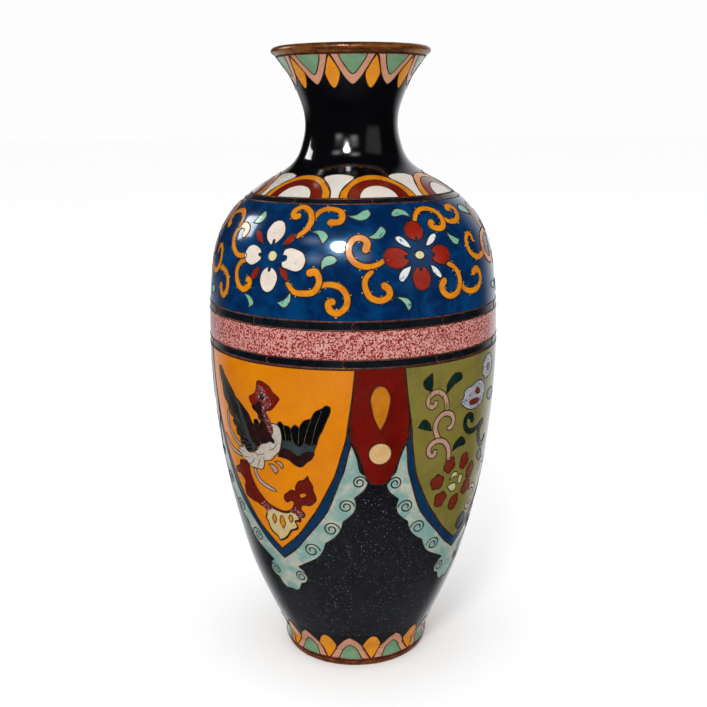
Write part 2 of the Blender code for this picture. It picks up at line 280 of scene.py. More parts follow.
def place_object(name, mesh, material, stands_for):
    obj = bpy.data.objects.new(name, mesh)
    COLLECTION.objects.link(obj)
    mesh.materials.append(material)
    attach(obj, "root")
    if stands_for:
        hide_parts(*stands_for)


def cell(piece, outline, lift=CELL, grid=GRID):
    """A thin closed shell of enamel that fills an outline."""
    outline = np.asarray(outline, dtype=float)
    centre = outline.mean(axis=0)
    flat = local(outline, centre)
    if area(flat) < 0:
        flat = flat[::-1]
    inside = grid_inside(flat, grid)
    vertices = [Vector(p) for p in flat.tolist() + inside]
    cdt = delaunay_2d_cdt(vertices, [], [list(range(len(flat)))], 0, 1e-5, False)
    corners = np.array([tuple(p) for p in cdt[0]])
    triangles = np.array([tuple(f) for f in cdt[2]])
    triangles = triangles[winding(corners[triangles].mean(axis=1), flat) != 0].tolist()
    plane = from_local(corners, centre)
    top, normals = on_vase(plane, lift)
    bottom, _ = on_vase(plane, lift - CELL_DEPTH)
    count = len(plane)
    directed = {(f[i], f[(i + 1) % len(f)]) for f in triangles for i in range(len(f))}
    rim = [(a, b) for a, b in directed if (b, a) not in directed]
    faces = triangles + [tuple(count + i for i in reversed(f)) for f in triangles]
    faces += [(b, a, count + a, count + b) for a, b in rim]
    piece.add(np.concatenate([top, bottom]), np.concatenate([normals, -normals]), faces)


def area(flat):
    x, y = flat[:, 0], flat[:, 1]
    return 0.5 * float(np.sum(x * np.roll(y, -1) - np.roll(x, -1) * y))


def winding(points, flat):
    """How many times an outline winds round each point."""
    ends = np.roll(flat, -1, axis=0)
    x, y = points[:, 0][:, None], points[:, 1][:, None]
    x0, y0, x1, y1 = flat[:, 0], flat[:, 1], ends[:, 0], ends[:, 1]
    left = (x1 - x0) * (y - y0) - (x - x0) * (y1 - y0)
    rising = (y0 <= y) & (y < y1) & (left > 0)
    falling = (y1 <= y) & (y < y0) & (left < 0)
    return rising.sum(axis=1) - falling.sum(axis=1)


def grid_inside(flat, grid):
    """Points of a square grid that lie inside an outline and clear of its edge."""
    low, high = flat.min(axis=0), flat.max(axis=0)
    if (high - low).max() < 1.6 * grid:
        return []
    xs = np.arange(low[0] + grid / 2, high[0], grid)
    ys = np.arange(low[1] + grid / 2, high[1], grid)
    grid_points = np.array([(x, y) for y in ys for x in xs])
    if not len(grid_points):
        return []
    clear = np.sqrt(((grid_points[:, None, :] - flat[None, :, :]) ** 2).sum(axis=2)).min(axis=1)
    return grid_points[(winding(grid_points, flat) != 0) & (clear > grid * 0.45)].tolist()


def wire(piece, line, width=WIRE_WIDTH, closed=True, crest=WIRE_CREST, foot=WIRE_FOOT):
    """A low crowned ribbon of wire along a dense (angle, run) path."""
    line = np.asarray(line, dtype=float)
    gaps = local(line, line.mean(axis=0))
    keep = np.ones(len(line), dtype=bool)
    keep[1:] = np.linalg.norm(np.diff(gaps, axis=0), axis=1) > CLOSEST
    line, gaps = line[keep], gaps[keep]
    while closed and np.linalg.norm(gaps[0] - gaps[-1]) < CLOSEST:
        line, gaps = line[:-1], gaps[:-1]
    points, normals = on_vase(line)
    if closed:
        tangents = np.roll(points, -1, axis=0) - np.roll(points, 1, axis=0)
    else:
        tangents = np.gradient(points, axis=0)
    tangents /= np.linalg.norm(tangents, axis=1)[:, None]
    sides = np.cross(normals, tangents)
    half = width / 2
    profile = [(-half, foot - CELL_DEPTH), (-half, foot), (-half * 0.45, crest), (half * 0.45, crest),
               (half, foot), (half, foot - CELL_DEPTH)]
    lean = [-1.0, -0.75, -0.3, 0.3, 0.75, 1.0]
    rings = [points + (sides * across + normals * up) * MM for across, up in profile]
    shades = [normals * math.sqrt(1 - tilt * tilt) + sides * tilt for tilt in lean]
    size, count = len(profile), len(line)
    stacked = np.stack(rings, axis=1).reshape(-1, 3)
    shading = np.stack(shades, axis=1).reshape(-1, 3)
    faces = []
    for i in range(count if closed else count - 1):
        j = (i + 1) % count
        for k in range(size):
            m = (k + 1) % size
            faces.append((i * size + k, j * size + k, j * size + m, i * size + m))
    if not closed:
        faces.append(tuple(range(size)))
        faces.append(tuple((count - 1) * size + k for k in range(size))[::-1])
    piece.add(stacked, shading, faces)


def outlined(ink, wires, outline, lift=CELL, width=WIRE_WIDTH, grid=GRID, crest=WIRE_CREST, foot=None):
    """A cell of enamel with its wire round it, or without one where wires is None."""
    cell(PIECES[ink], outline, lift, grid)
    if wires:
        wire(PIECES[wires], outline, width, crest=crest, foot=lift - TUCK if foot is None else foot)


def ring(run, wander=0.05, seed=0, count=360):
    """A closed path round the vase at one run, with the slight wander of a wire laid by hand."""
    source = random.Random(seed)
    angles = np.linspace(-180.0, 180.0, count, endpoint=False)
    runs = np.full(count, float(run))
    for harmonic in (1, 2, 3, 5, 9, 14, 23):
        phase = source.uniform(0, 2 * math.pi)
        reach = wander * source.uniform(0.3, 1) / math.sqrt(harmonic)
        runs += reach * np.sin(np.radians(angles) * harmonic + phase)
    return np.stack([angles, runs], axis=1)


def turned(name, outline, material, stands_for, wobble=None):
    """A ring turned from a closed outline of (radius, height), in mm, listed down its outer side first."""
    outline = np.asarray(outline, dtype=float)
    points = []
    for angle in np.linspace(0.0, 2 * math.pi, TURNS, endpoint=False):
        radius, height = outline[:, 0], outline[:, 1]
        if wobble:
            radius, height = wobble(angle, radius, height)
        points.append(np.stack([radius * math.sin(angle), -radius * math.cos(angle), height], axis=1) * MM)
    size = len(outline)
    faces = []
    for i in range(TURNS):
        j = (i + 1) % TURNS
        for k in range(size):
            m = (k + 1) % size
            faces.append((i * size + k, i * size + m, j * size + m, j * size + k))
    turned_object(name, np.concatenate(points).tolist(), faces, material, stands_for)


def turned_object(name, points, faces, material, stands_for):
    mesh = bpy.data.meshes.new(name)
    mesh.from_pydata(points, [], faces)
    mesh.shade_smooth()
    mesh.set_sharp_from_angle(angle=SHARP)
    place_object(name, mesh, material, stands_for)


def skin(name, low, high, material, stands_for):
    """A turned band of enamel between two runs, with a row of points to about each millimetre."""
    runs = np.linspace(low, high, max(3, int(high - low) + 1))
    outer = np.stack(section(runs[::-1])[:2], axis=1)
    inner = np.stack(section(runs, -SKIN_DEPTH)[:2], axis=1)
    turned(name, np.concatenate([outer, inner]), material, stands_for)


# --- materials ----------------------------------------------------------------------------------
def linear(colour):
    """0-255 screen colour to linear light."""
    shares = [c / 255.0 for c in colour]
    return tuple(c / 12.92 if c <= 0.04045 else ((c + 0.055) / 1.055) ** 2.4 for c in shares) + (1.0,)


class Tree:
    """A short way to write a node tree. A value may be a socket or a constant."""

    def __init__(self, tree):
        self.tree = tree

    def add(self, kind, **settings):
        node = self.tree.nodes.new(kind)
        for key, value in settings.items():
            setattr(node, key, value)
        return node

    def link(self, source, target):
        if hasattr(source, "is_output"):
            self.tree.links.new(source, target)
        else:
            target.default_value = source

    def joined(self, kind, values, result=0, **settings):
        """A node with values in its inputs, each under the input's name or number."""
        node = self.add(kind, **settings)
        for key, value in values.items():
            self.link(value, node.inputs[key])
        return node.outputs[result]

    def remap(self, value, low, high, to_low=0.0, to_high=1.0):
        values = {"Value": value, "From Min": low, "From Max": high, "To Min": to_low, "To Max": to_high}
        return self.joined("ShaderNodeMapRange", values, interpolation_type="SMOOTHSTEP")

    def maths(self, operation, a, b):
        return self.joined("ShaderNodeMath", {0: a, 1: b}, operation=operation)

    def axes(self, vector):
        split = self.add("ShaderNodeSeparateXYZ")
        self.link(vector, split.inputs[0])
        return list(split.outputs)


class Nodes(Tree):
    """The node tree of a material."""

    def __init__(self, name):
        self.material = bpy.data.materials.new(name)
        self.material.use_nodes = True
        super().__init__(self.material.node_tree)
        self.shader = self.tree.nodes["Principled BSDF"]
        self.where = self.add("ShaderNodeTexCoord").outputs["Object"]

    def noise(self, scale, detail=3.0, roughness=0.55, distortion=0.0):
        values = {"Vector": self.where, "Scale": scale, "Detail": detail, "Roughness": roughness,
                  "Distortion": distortion}
        return self.joined("ShaderNodeTexNoise", values, "Fac")

    def cells(self, scale):
        return self.joined("ShaderNodeTexVoronoi", {"Vector": self.where, "Scale": scale}, "Distance")

    def mix(self, share, a, b):
        return self.joined("ShaderNodeMix", {0: share, 6: a, 7: b}, 2, data_type="RGBA")

    def finish(self, colour, roughness, height, distance, strength):
        values = {"Distance": distance, "Strength": strength, "Height": height}
        bump = self.joined("ShaderNodeBump", values, "Normal")
        for key, value in (("Base Color", colour), ("Roughness", roughness), ("Normal", bump)):
            self.link(value, self.shader.inputs[key])
        return self.material


def enamel(name, colour, cloud, amount, size, pits, gloss, speck=None, sheen=(1.0, 1.0, 1.0, 1.0)):
    """Polished glass enamel: clouded colour, fine grain, open pits with painted shade in their hollows and a
    faint unevenness of the polish.

    size is the clouds' size in mm; speck is (colour, size in mm, threshold) of small contrasting grains.
    """
    n = Nodes(name)
    base = linear(colour)
    cloud = linear(cloud)
    clouds = n.remap(n.noise(1000.0 / (size * 2), 4.0, 0.6, 0.6), 0.38, 0.68, 0.0, amount)
    tone = n.mix(clouds, base, cloud)
    fine = n.remap(n.noise(2600.0, 2.0), 0.35, 0.7, 0.0, 0.21)
    tone = n.mix(fine, tone, tuple(min(1.0, c * 1.35 + 0.001) for c in base[:3]) + (1.0,))
    bubbles = n.remap(n.cells(640.0), 0.05, 0.085, 0.8, 0.0)
    bubbles = n.maths("MULTIPLY", bubbles, n.remap(n.noise(60.0, 2.0), 0.5, 0.6))
    tone = n.mix(bubbles, tone, tuple(min(1.0, c * 1.6 + 0.03) for c in base[:3]) + (1.0,))
    if speck:
        grains = n.remap(n.noise(1000.0 / speck[1], 2.0, 0.5, 0.4), speck[2], speck[2] + 0.06)
        tone = n.mix(grains, tone, linear(speck[0]))
    pit_and_shade = n.remap(n.cells(520.0), 0.05, 0.1, 1.0, 0.0)
    gate = n.remap(n.noise(95.0, 2.0), 0.46, 0.56, 0.0, pits)
    pit_and_shade = n.maths("MULTIPLY", pit_and_shade, gate)
    # Painted shade: the pits' colour falls to about a tenth of the glaze's, for the shade in their hollows;
    # the same mask also dents the bump and roughens the polish.
    tone = n.mix(pit_and_shade, tone, tuple(c * 0.12 for c in base[:3]) + (1.0,))
    haze = n.remap(n.noise(45.0, 4.0, 0.65), 0.3, 0.75, gloss * 1.6, gloss * 3.2)
    rough = n.maths("ADD", haze, n.maths("MULTIPLY", pit_and_shade, 0.4))
    swell = n.maths("MULTIPLY", n.noise(170.0, 2.0), 0.35)
    height = n.maths("SUBTRACT", swell, pit_and_shade)
    n.shader.inputs["IOR"].default_value = 1.45
    n.shader.inputs["Specular Tint"].default_value = sheen
    n.shader.inputs["Coat Weight"].default_value = 0.6
    n.shader.inputs["Coat Roughness"].default_value = 0.035
    return n.finish(tone, rough, height, 0.00006, 0.55)


def metal(name, colour, dark, roughness=0.33, size=3.0, shine=0.9, stains=0.6, streaks=1.0):
    """Handled copper: brown patina in the hollows of a clouded polish, drawn out sideways by streaks."""
    n = Nodes(name)
    if streaks != 1.0:
        stretch = n.add("ShaderNodeMapping")
        stretch.inputs["Scale"].default_value = (0.4, 0.4, streaks * 0.4)
        n.link(n.where, stretch.inputs["Vector"])
        n.where = stretch.outputs["Vector"]
    clouds = n.remap(n.noise(1000.0 / size, 5.0, 0.65, 0.8), 0.36, 0.66)
    tone = n.mix(clouds, linear(dark), linear(colour))
    stain = n.remap(n.noise(900.0, 3.0, 0.7), 0.52, 0.64, 0.0, stains)
    tone = n.mix(stain, tone, tuple(c * 0.35 for c in linear(dark)[:3]) + (1.0,))
    rough = n.remap(n.noise(420.0, 4.0), 0.3, 0.7, roughness * 0.75, roughness * 1.6)
    height = n.maths("ADD", n.noise(1500.0, 3.0), n.maths("MULTIPLY", stain, -0.6))
    n.shader.inputs["Metallic"].default_value = shine
    return n.finish(tone, rough, height, 0.00005, 0.6)


# Glazes: colour, colour of the clouds, their amount and size, pits with their painted shade, gloss, then
# specks and tint of the shine.
GLAZES = {
    "black": ((4, 4, 6), (9, 10, 13), 0.5, 4.0, 0.5, 0.05),
    "night": ((13, 14, 18), (19, 22, 28), 0.8, 3.0, 0.7, 0.09, ((170, 176, 180), 0.28, 0.69)),
    "blue": ((0, 28, 66), (0, 57, 104), 0.75, 3.2, 0.7, 0.07,
             ((50, 120, 160), 0.17, 0.7), (0.36, 0.72, 1.0, 1.0)),
    "speckled": ((192, 142, 134), (172, 102, 98), 0.6, 1.2, 0.3, 0.1, ((124, 22, 22), 0.48, 0.475)),
    "yellow": ((193, 113, 0), (180, 99, 0), 0.7, 6.0, 0.9, 0.08, ((150, 84, 0), 0.2, 0.72)),
    "olive": ((108, 99, 42), (92, 83, 32), 0.7, 4.0, 0.9, 0.09, ((158, 150, 98), 0.18, 0.66)),
    "red": ((106, 18, 3), (82, 11, 1), 0.7, 3.0, 0.9, 0.08, ((160, 60, 24), 0.22, 0.68)),
    "rose": ((132, 22, 3), (106, 13, 1), 0.7, 2.0, 0.8, 0.09, ((180, 84, 52), 0.2, 0.68)),
    "lappet": ((98, 7, 0), (74, 4, 0), 0.75, 3.5, 0.9, 0.08, ((150, 62, 14), 0.2, 0.68)),
    "white": ((204, 194, 183), (190, 172, 160), 0.7, 2.2, 0.8, 0.1, ((206, 150, 118), 0.7, 0.66)),
    "spray_red": ((102, 29, 13), (84, 21, 9), 0.7, 1.5, 0.9, 0.09, ((156, 116, 64), 0.22, 0.67)),
    "cloud_red": ((92, 16, 3), (76, 10, 1), 0.7, 2.0, 0.9, 0.09, ((150, 64, 36), 0.25, 0.68)),
    "pale": ((158, 158, 117), (168, 166, 130), 0.7, 1.0, 0.8, 0.1),
    "collar_gold": ((205, 129, 14), (190, 112, 10), 0.7, 1.6, 0.9, 0.1),
    "shell": ((199, 196, 190), (204, 182, 160), 0.8, 2.6, 0.8, 0.1, ((214, 150, 118), 1.3, 0.68)),
    "ice": ((190, 196, 198), (204, 200, 194), 0.7, 1.2, 0.8, 0.1, ((40, 108, 156), 1.1, 0.6)),
    "orange": ((196, 120, 0), (168, 90, 0), 0.7, 1.6, 0.9, 0.1),
    "drop": ((168, 101, 0), (150, 80, 0), 0.7, 2.6, 0.9, 0.1),
    "gold": ((210, 150, 44), (176, 108, 26), 0.7, 0.6, 0.4, 0.2),
    "mint": ((104, 155, 128), (129, 173, 151), 0.7, 1.5, 0.8, 0.1, ((10, 92, 128), 1.1, 0.62)),
    "sea": ((106, 140, 133), (172, 164, 150), 0.9, 2.8, 0.8, 0.1, ((70, 100, 104), 0.4, 0.68)),
    "stripe": ((0, 43, 76), (0, 33, 62), 0.7, 2.0, 0.7, 0.09, None, (0.5, 0.8, 1.0, 1.0)),
    "border": ((4, 9, 16), (12, 22, 33), 0.8, 1.6, 0.8, 0.12, ((70, 90, 112), 0.2, 0.68)),
    "cream": ((170, 152, 103), (180, 164, 124), 0.7, 1.2, 0.9, 0.1, ((150, 84, 50), 0.5, 0.68)),
    "maroon": ((32, 11, 12), (44, 19, 19), 0.8, 1.2, 0.8, 0.1),
    "grey": ((38, 49, 52), (50, 61, 63), 0.8, 1.4, 0.8, 0.1, ((20, 24, 26), 0.3, 0.64)),
    "feather": ((5, 5, 6), (13, 13, 14), 0.8, 1.2, 0.7, 0.1),
    "slate": ((17, 18, 20), (32, 33, 35), 0.8, 0.9, 0.7, 0.1),
    "plume": ((142, 134, 140), (166, 152, 148), 0.8, 1.0, 0.8, 0.1),
    "bird_white": ((166, 157, 145), (150, 139, 132), 0.7, 1.2, 0.8, 0.1, ((84, 24, 24), 0.42, 0.645)),
    "face": ((88, 18, 14), (112, 46, 44), 0.8, 0.7, 0.6, 0.1, ((180, 150, 152), 0.36, 0.57)),
    "pink": ((158, 126, 106), (146, 108, 90), 0.7, 1.2, 0.8, 0.1),
    "collar_pink": ((184, 132, 105), (170, 111, 88), 0.7, 1.6, 0.9, 0.1),
    "collar_green": ((97, 131, 99), (118, 147, 115), 0.7, 1.6, 0.9, 0.1),
    "teal": ((6, 28, 23), (16, 44, 36), 0.8, 1.2, 0.8, 0.1),
    "blossom": ((144, 144, 152), (168, 166, 168), 0.8, 0.9, 0.8, 0.1, ((54, 58, 84), 0.42, 0.535)),
    "dot": ((190, 189, 146), (176, 166, 116), 0.7, 0.8, 0.8, 0.1),
    "disc": ((184, 151, 104), (176, 136, 88), 0.7, 1.5, 0.9, 0.1),
    "lining": ((52, 120, 132), (38, 92, 108), 0.8, 6.0, 0.8, 0.2, ((18, 40, 50), 0.7, 0.68)),
}
INK = {name: enamel(f"{name}_glaze", *glaze) for name, glaze in GLAZES.items()}
COPPER = metal("worn_copper", (186, 104, 42), (112, 56, 22), 0.3, 3.0, 0.6, 0.45)
LIP_COPPER = metal("lip_copper", (158, 94, 40), (84, 48, 22), 0.2, 3.0, 0.6, 0.5, streaks=5.0)
SEAM = metal("seam_copper", (140, 34, 8), (62, 14, 4), 0.4, 1.0, 0.2)
WING_WIRE = metal("wing_wire", (124, 108, 80), (76, 64, 48), 0.4, 1.2, 0.2, 0.3)
DARK_WIRE = metal("dark_wire", (62, 36, 18), (20, 12, 8), 0.45, 1.2, 0.3)
BROWN_WIRE = metal("brown_wire", (84, 42, 24), (36, 18, 12), 0.45, 1.0, 0.3)
COPPER_WIRE = metal("copper_wire", (118, 60, 28), (62, 28, 12), 0.4, 1.2, 0.4)


# --- motifs -------------------------------------------------------------------------------------
def shape(points, turn=0.0):
    """A closed outline turned round the vase."""
    return moved(path(points, spacing=MOTIF_SPACING), turn)


def line(points, turn):
    return moved(path(points, closed=False, spacing=MOTIF_SPACING), turn)


def notched(points, turn):
    """A round petal; its first three points are the notch's two lips and its bottom."""
    first, bottom, last = (np.array(p[:2]) for p in points[:3])
    mouth, half = (first + last) / 2, (last - first) / 2
    depth = bottom - mouth
    start = [
        mouth - 1.25 * half + 0.15 * depth, (mouth - 0.5 * half - 0.1 * depth, 1),
        mouth - 0.42 * half + 0.55 * depth, mouth - 0.3 * half + 0.95 * depth, mouth + 1.12 * depth,
        mouth + 0.3 * half + 0.95 * depth, mouth + 0.42 * half + 0.55 * depth,
        (mouth + 0.5 * half - 0.1 * depth, 1), mouth + 1.25 * half + 0.15 * depth,
    ]
    start = [(*p[0], 1) if isinstance(p, tuple) else tuple(p) for p in start]
    return shape(start + list(points[3:]), turn)


def fill(ink, wires, points, turn=0.0, lift=CELL):
    outlined(ink, wires, shape(points, turn), lift)


def ribbon(ink, wires, points, turn, half, bulb, start, lift=CELL, crest=WIRE_CREST):
    """A scroll's arm: half-widths of its middle, of the round bulb at its curled end and of its start."""
    outlined(ink, wires, moved(stroke(points, start, half, bulb), turn), lift, crest=crest)


UNDER_ARMS = "BDJMHERK"  # side arms, which run under the main arm that they spring from


def scroll_arm(key, points, turn):
    lift, crest = (CELL, TOP_CELL) if key in UNDER_ARMS else (CREST_CELL, WIRE_CREST)
    ribbon("scrolls", "scroll_wires", points, turn, 0.93, 1.12, 0.72, lift, crest)
    gold_grains(points, turn)


def gold_grains(points, turn):
    """Beads of solder that stand out along the outer edges of a scroll."""
    outline = moved(stroke(points, 0.9, 1.1, 1.3), turn)
    place = CHOICE.uniform(0, 8)
    while place < len(outline):
        centre = outline[int(place)]
        bead = disc(centre, CHOICE.uniform(0.1, 0.2), 8, CHOICE.uniform(0.8, 1.7))
        cell(PIECES["scroll_grains"], bead, CREST_CELL)
        place += CHOICE.uniform(5, 22)


# Scroll band: flowers, scrolls and leaves as (angle, run).
WHITE_SCROLLS = {
    "A": [(-22.4, 137.9), (-19.4, 139.6), (-17.7, 142.1), (-18.2, 144.3), (-20.2, 146.2), (-23.6, 147.2),
          (-26.5, 146.3), (-27.2, 145.0), (-25.8, 143.8), (-24.6, 144.0)],
    "B": [(-17.9, 142.6), (-16.5, 143.8), (-14.6, 145.8), (-11.4, 146.7), (-8.0, 146.5), (-5.3, 145.8),
          (-4.3, 144.1), (-5.3, 142.5), (-9.0, 142.2)],
    "C": [(-24.3, 125.1), (-21.6, 123.1), (-17.7, 122.8), (-14.3, 123.3), (-12.4, 125.3), (-12.4, 127.2),
          (-13.8, 128.6), (-15.8, 128.25)],
    "D": [(-14.0, 123.4), (-12.6, 124.2), (-10.9, 125.1), (-7.5, 125.3), (-4.1, 124.4), (-2.1, 122.0),
          (-2.6, 119.5), (-5.5, 117.8), (-8.2, 118.6), (-8.7, 120.4), (-7.5, 120.8)],
    "E": [(-45.3, 130.4), (-48.4, 129.35), (-49.9, 126.8), (-48.7, 123.9), (-45.5, 122.4), (-42.6, 123.3),
          (-41.85, 124.8), (-42.8, 125.1)],
    "F": [(-46.0, 131.5), (-50.9, 131.5), (-55.25, 133.7), (-57.0, 136.3), (-56.5, 138.5), (-54.3, 139.8),
          (-51.4, 139.8), (-49.4, 138.7), (-50.1, 137.4)],
    "G": [(-56.5, 139.6), (-57.0, 142.0), (-60.6, 144.0), (-65.2, 144.2), (-69.4, 143.2), (-70.8, 141.4),
          (-69.7, 140.0), (-67.6, 139.3)],
    "H": [(-66.6, 126.6), (-63.0, 126.9), (-59.4, 126.5), (-56.6, 125.2), (-55.7, 123.0), (-56.4, 120.8),
          (-58.8, 119.4), (-60.8, 120.2), (-61.6, 121.9)],
}
# What fills the gaps between the drawn flowers, at the left and at the right.
SIDE_SCROLLS = {
    "P": [(-69.6, 131.0), (-69.2, 132.4), (-67.4, 132.9), (-65.4, 132.0), (-64.2, 130.2), (-64.6, 128.0),
          (-66.8, 126.2), (-70.0, 125.4), (-73.4, 125.7), (-76.8, 127.2)],
    "Q": [(-86.0, 142.7), (-84.4, 144.7), (-81.2, 146.0), (-77.4, 146.1), (-74.6, 144.9), (-74.6, 142.6),
          (-76.0, 140.2), (-76.8, 137.8)],
    "R": [(77.8, 145.2), (74.4, 144.2), (71.8, 142.4), (71.4, 140.2), (73.6, 137.8), (76.8, 136.3),
          (77.8, 134.6)],
    "S": [(75.6, 136.4), (70.8, 135.8), (67.2, 134.8), (65.0, 132.6), (65.9, 130.2), (69.2, 128.3),
          (72.6, 127.7), (75.0, 128.7), (74.6, 130.4)],
}
SIDE_LEAVES = [
    [(-74.4, 120.7), (-70.8, 121.0), (-68.6, 120.6), (-68.6, 119.6), (-70.6, 118.8), (-74.0, 118.7)],
    [(75.6, 120.9, 1), (71.6, 121.5), (69.2, 120.8), (71.4, 119.5), (75.0, 119.1)],
]
RED_SCROLLS = {
    "I": [(27.5, 142.3), (29.5, 144.3), (32.4, 145.6), (36.3, 145.8), (40.4, 144.7), (42.4, 142.5),
          (41.4, 140.1), (38.7, 139.2), (35.6, 139.8), (34.8, 140.7), (35.6, 141.2)],
    "J": [(42.2, 142.8), (43.6, 142.1), (46.5, 141.0), (50.9, 141.0), (54.3, 142.3), (55.8, 144.3),
          (54.3, 145.6), (51.9, 145.8), (50.2, 145.1)],
    "K": [(57.4, 134.6), (57.2, 136.0), (55.4, 136.7), (53.4, 136.0), (52.1, 134.6), (52.1, 132.7),
          (53.8, 130.9), (57.7, 129.7), (61.8, 130.0), (65.0, 131.2), (66.6, 132.7)],
    "L": [(38.5, 129.35), (41.2, 128.25), (43.4, 126.1), (43.6, 123.5), (41.65, 121.3), (38.2, 120.6),
          (35.3, 121.7), (34.35, 123.5), (35.6, 124.8)],
    "M": [(43.4, 124.2), (44.8, 123.1), (46.5, 121.7), (50.4, 120.9), (54.8, 121.3), (57.7, 123.1),
          (57.7, 125.3), (55.3, 126.6), (52.9, 125.9)],
    "N": [(11.7, 131.5), (9.0, 130.4), (5.1, 129.9), (1.2, 130.8), (-1.2, 133.0), (-1.2, 135.6),
          (0.7, 137.4), (3.6, 137.6), (5.6, 136.3), (4.9, 134.5)],
    "O": [(6.8, 128.6), (4.6, 126.8), (4.4, 124.6), (6.1, 122.0), (9.5, 121.0), (12.7, 121.9),
          (13.0, 123.7), (11.4, 124.8)],
}
WHITE_LEAVES = [
    [(-2.4, 144.5, 1), (1.3, 144.5), (6.15, 146.5), (8.3, 145.1), (6.6, 143.4), (3.5, 142.7), (0.0, 143.6)],
    [(-17.0, 139.4, 1), (-13.3, 139.9), (-10.9, 139.4), (-9.5, 137.9), (-11.6, 135.9, 1), (-12.9, 137.4),
     (-14.3, 138.7)],
    [(-11.4, 128.8, 1), (-11.7, 130.9), (-10.6, 132.4), (-8.4, 133.0), (-6.6, 132.6), (-5.6, 131.7, 1),
     (-6.6, 130.8), (-8.4, 130.3), (-10.2, 129.9)],
    [(-22.85, 123.3, 1), (-23.1, 120.2), (-25.5, 118.7), (-28.7, 119.9, 1), (-25.5, 120.95),
     (-23.8, 122.4)],
    [(-44.8, 121.4, 1), (-41.1, 120.9), (-39.2, 118.9), (-41.6, 117.6, 1), (-41.85, 119.1), (-43.1, 120.4)],
    [(-47.7, 141.0, 1), (-45.5, 143.8), (-43.6, 145.1), (-41.5, 143.4), (-42.6, 141.4), (-45.0, 141.0)],
]
RED_LEAVES = [
    [(26.4, 143.1, 1), (25.1, 145.1), (23.1, 146.1), (20.4, 146.4), (18.1, 145.4), (17.4, 144.2),
     (19.1, 143.7), (22.4, 144.1), (24.7, 143.7)],
    [(68.3, 141.9, 1), (64.2, 142.7), (60.6, 143.6), (60.0, 144.8), (62.6, 145.7), (66.8, 145.4),
     (68.6, 143.8)],
    [(41.6, 138.3, 1), (42.1, 136.3), (43.6, 134.6), (45.8, 134.1), (47.6, 135.4), (45.55, 136.3),
     (43.1, 137.2)],
    [(5.8, 137.75, 1), (9.0, 139.0), (11.7, 140.9), (13.6, 139.4), (11.9, 137.75), (9.0, 137.2)],
    [(13.9, 121.9, 1), (17.3, 121.7), (20.2, 121.1), (21.4, 119.5), (20.1, 118.0), (18.75, 119.7),
     (16.8, 121.1)],
]
# Round petals: inner tip, notch and inner tip again are corners, then the petal's round outline.
WHITE_FLOWER = [
    [(-33.65, 135.25, 1), (-32.35, 136.6, 1), (-31.1, 135.7, 1), (-28.9, 137.4), (-28.2, 139.4),
     (-30.0, 141.8), (-32.7, 142.4), (-35.4, 141.6), (-37.0, 139.2), (-36.2, 136.9)],
    [(-37.5, 133.2, 1), (-38.4, 132.3, 1), (-37.0, 131.2, 1), (-39.4, 129.7), (-41.85, 129.2),
     (-44.9, 130.1), (-46.1, 131.9), (-44.9, 134.0), (-42.1, 134.8), (-39.3, 134.3)],
    [(-27.2, 129.9, 1), (-25.5, 131.9, 1), (-27.0, 133.5, 1), (-25.3, 134.5), (-23.1, 134.6),
     (-19.2, 133.6), (-17.6, 131.5), (-18.8, 129.2), (-21.4, 128.4), (-24.6, 128.9)],
    [(-31.1, 129.05, 1), (-32.6, 128.1, 1), (-33.65, 129.05, 1), (-35.9, 127.6), (-36.5, 125.3),
     (-35.2, 123.2), (-32.8, 122.4), (-30.2, 123.5), (-28.7, 126.1), (-29.3, 127.8)],
]
RED_FLOWER = [
    [(24.8, 136.3, 1), (25.8, 137.2, 1), (26.8, 136.3, 1), (29.0, 137.5), (29.8, 139.2), (28.4, 141.4),
     (25.6, 142.1), (22.6, 141.3), (21.2, 139.2), (22.3, 137.3)],
    [(21.2, 133.0, 1), (19.7, 132.1, 1), (21.2, 131.0, 1), (19.0, 129.5), (16.1, 129.05), (12.7, 130.2),
     (11.4, 132.3), (12.8, 134.2), (15.8, 134.8), (19.0, 134.3)],
    [(31.2, 131.2, 1), (32.6, 132.1, 1), (31.4, 133.4, 1), (33.4, 134.5), (35.6, 134.8), (38.8, 133.8),
     (40.1, 131.9), (38.7, 130.0), (36.05, 129.3), (33.2, 129.8)],
    [(27.3, 129.3, 1), (25.8, 128.25, 1), (24.6, 129.3, 1), (22.8, 128.1), (22.1, 126.4), (23.3, 123.9),
     (25.8, 122.95), (28.6, 123.8), (29.8, 126.1), (28.9, 128.0)],
]
# Slim petals between the round ones: outer tip, one side, inner tip, other side.
RED_SLIPS = [
    [(-43.0, 138.8), (-40.1, 138.5), (-37.2, 135.3, 1), (-41.1, 136.3)],
    [(-22.5, 138.5), (-24.6, 135.9), (-28.2, 135.3, 1), (-25.5, 138.1)],
    [(-41.4, 125.9), (-38.9, 125.8), (-36.7, 129.05, 1), (-39.7, 128.2)],
    [(-24.0, 125.7), (-25.5, 128.6), (-28.35, 129.4, 1), (-27.2, 127.2)],
]
WHITE_SLIPS = [
    [(16.9, 137.5), (18.2, 137.9), (20.1, 137.3), (21.9, 135.9), (22.9, 134.4, 1), (20.9, 134.7),
     (18.4, 135.7), (17.1, 136.6)],
    [(35.3, 137.7), (35.0, 136.7), (33.0, 135.4), (30.7, 134.7), (29.3, 134.7, 1), (30.3, 136.0),
     (32.2, 137.4), (34.2, 138.0)],
    [(16.9, 126.2), (17.1, 127.6), (18.6, 128.9), (20.3, 129.4), (22.0, 129.7, 1), (21.4, 128.4),
     (20.0, 126.7), (18.3, 125.6)],
    [(30.1, 129.5, 1), (31.9, 129.1), (33.7, 127.9), (34.9, 126.4), (34.0, 125.8), (32.6, 126.4),
     (30.9, 127.6)],
]
# Repeats of each flower: turn, then the arms and the leaves left out where they would meet a neighbour's.
WHITE_TURNS = ((0.0, "", ()), (122.0, "EFGH", (5,)), (240.0, "FGH", ()))
RED_TURNS = ((0.0, "", ()), (120.0, "", ()), (246.0, "IJKLM", (1, 2)))


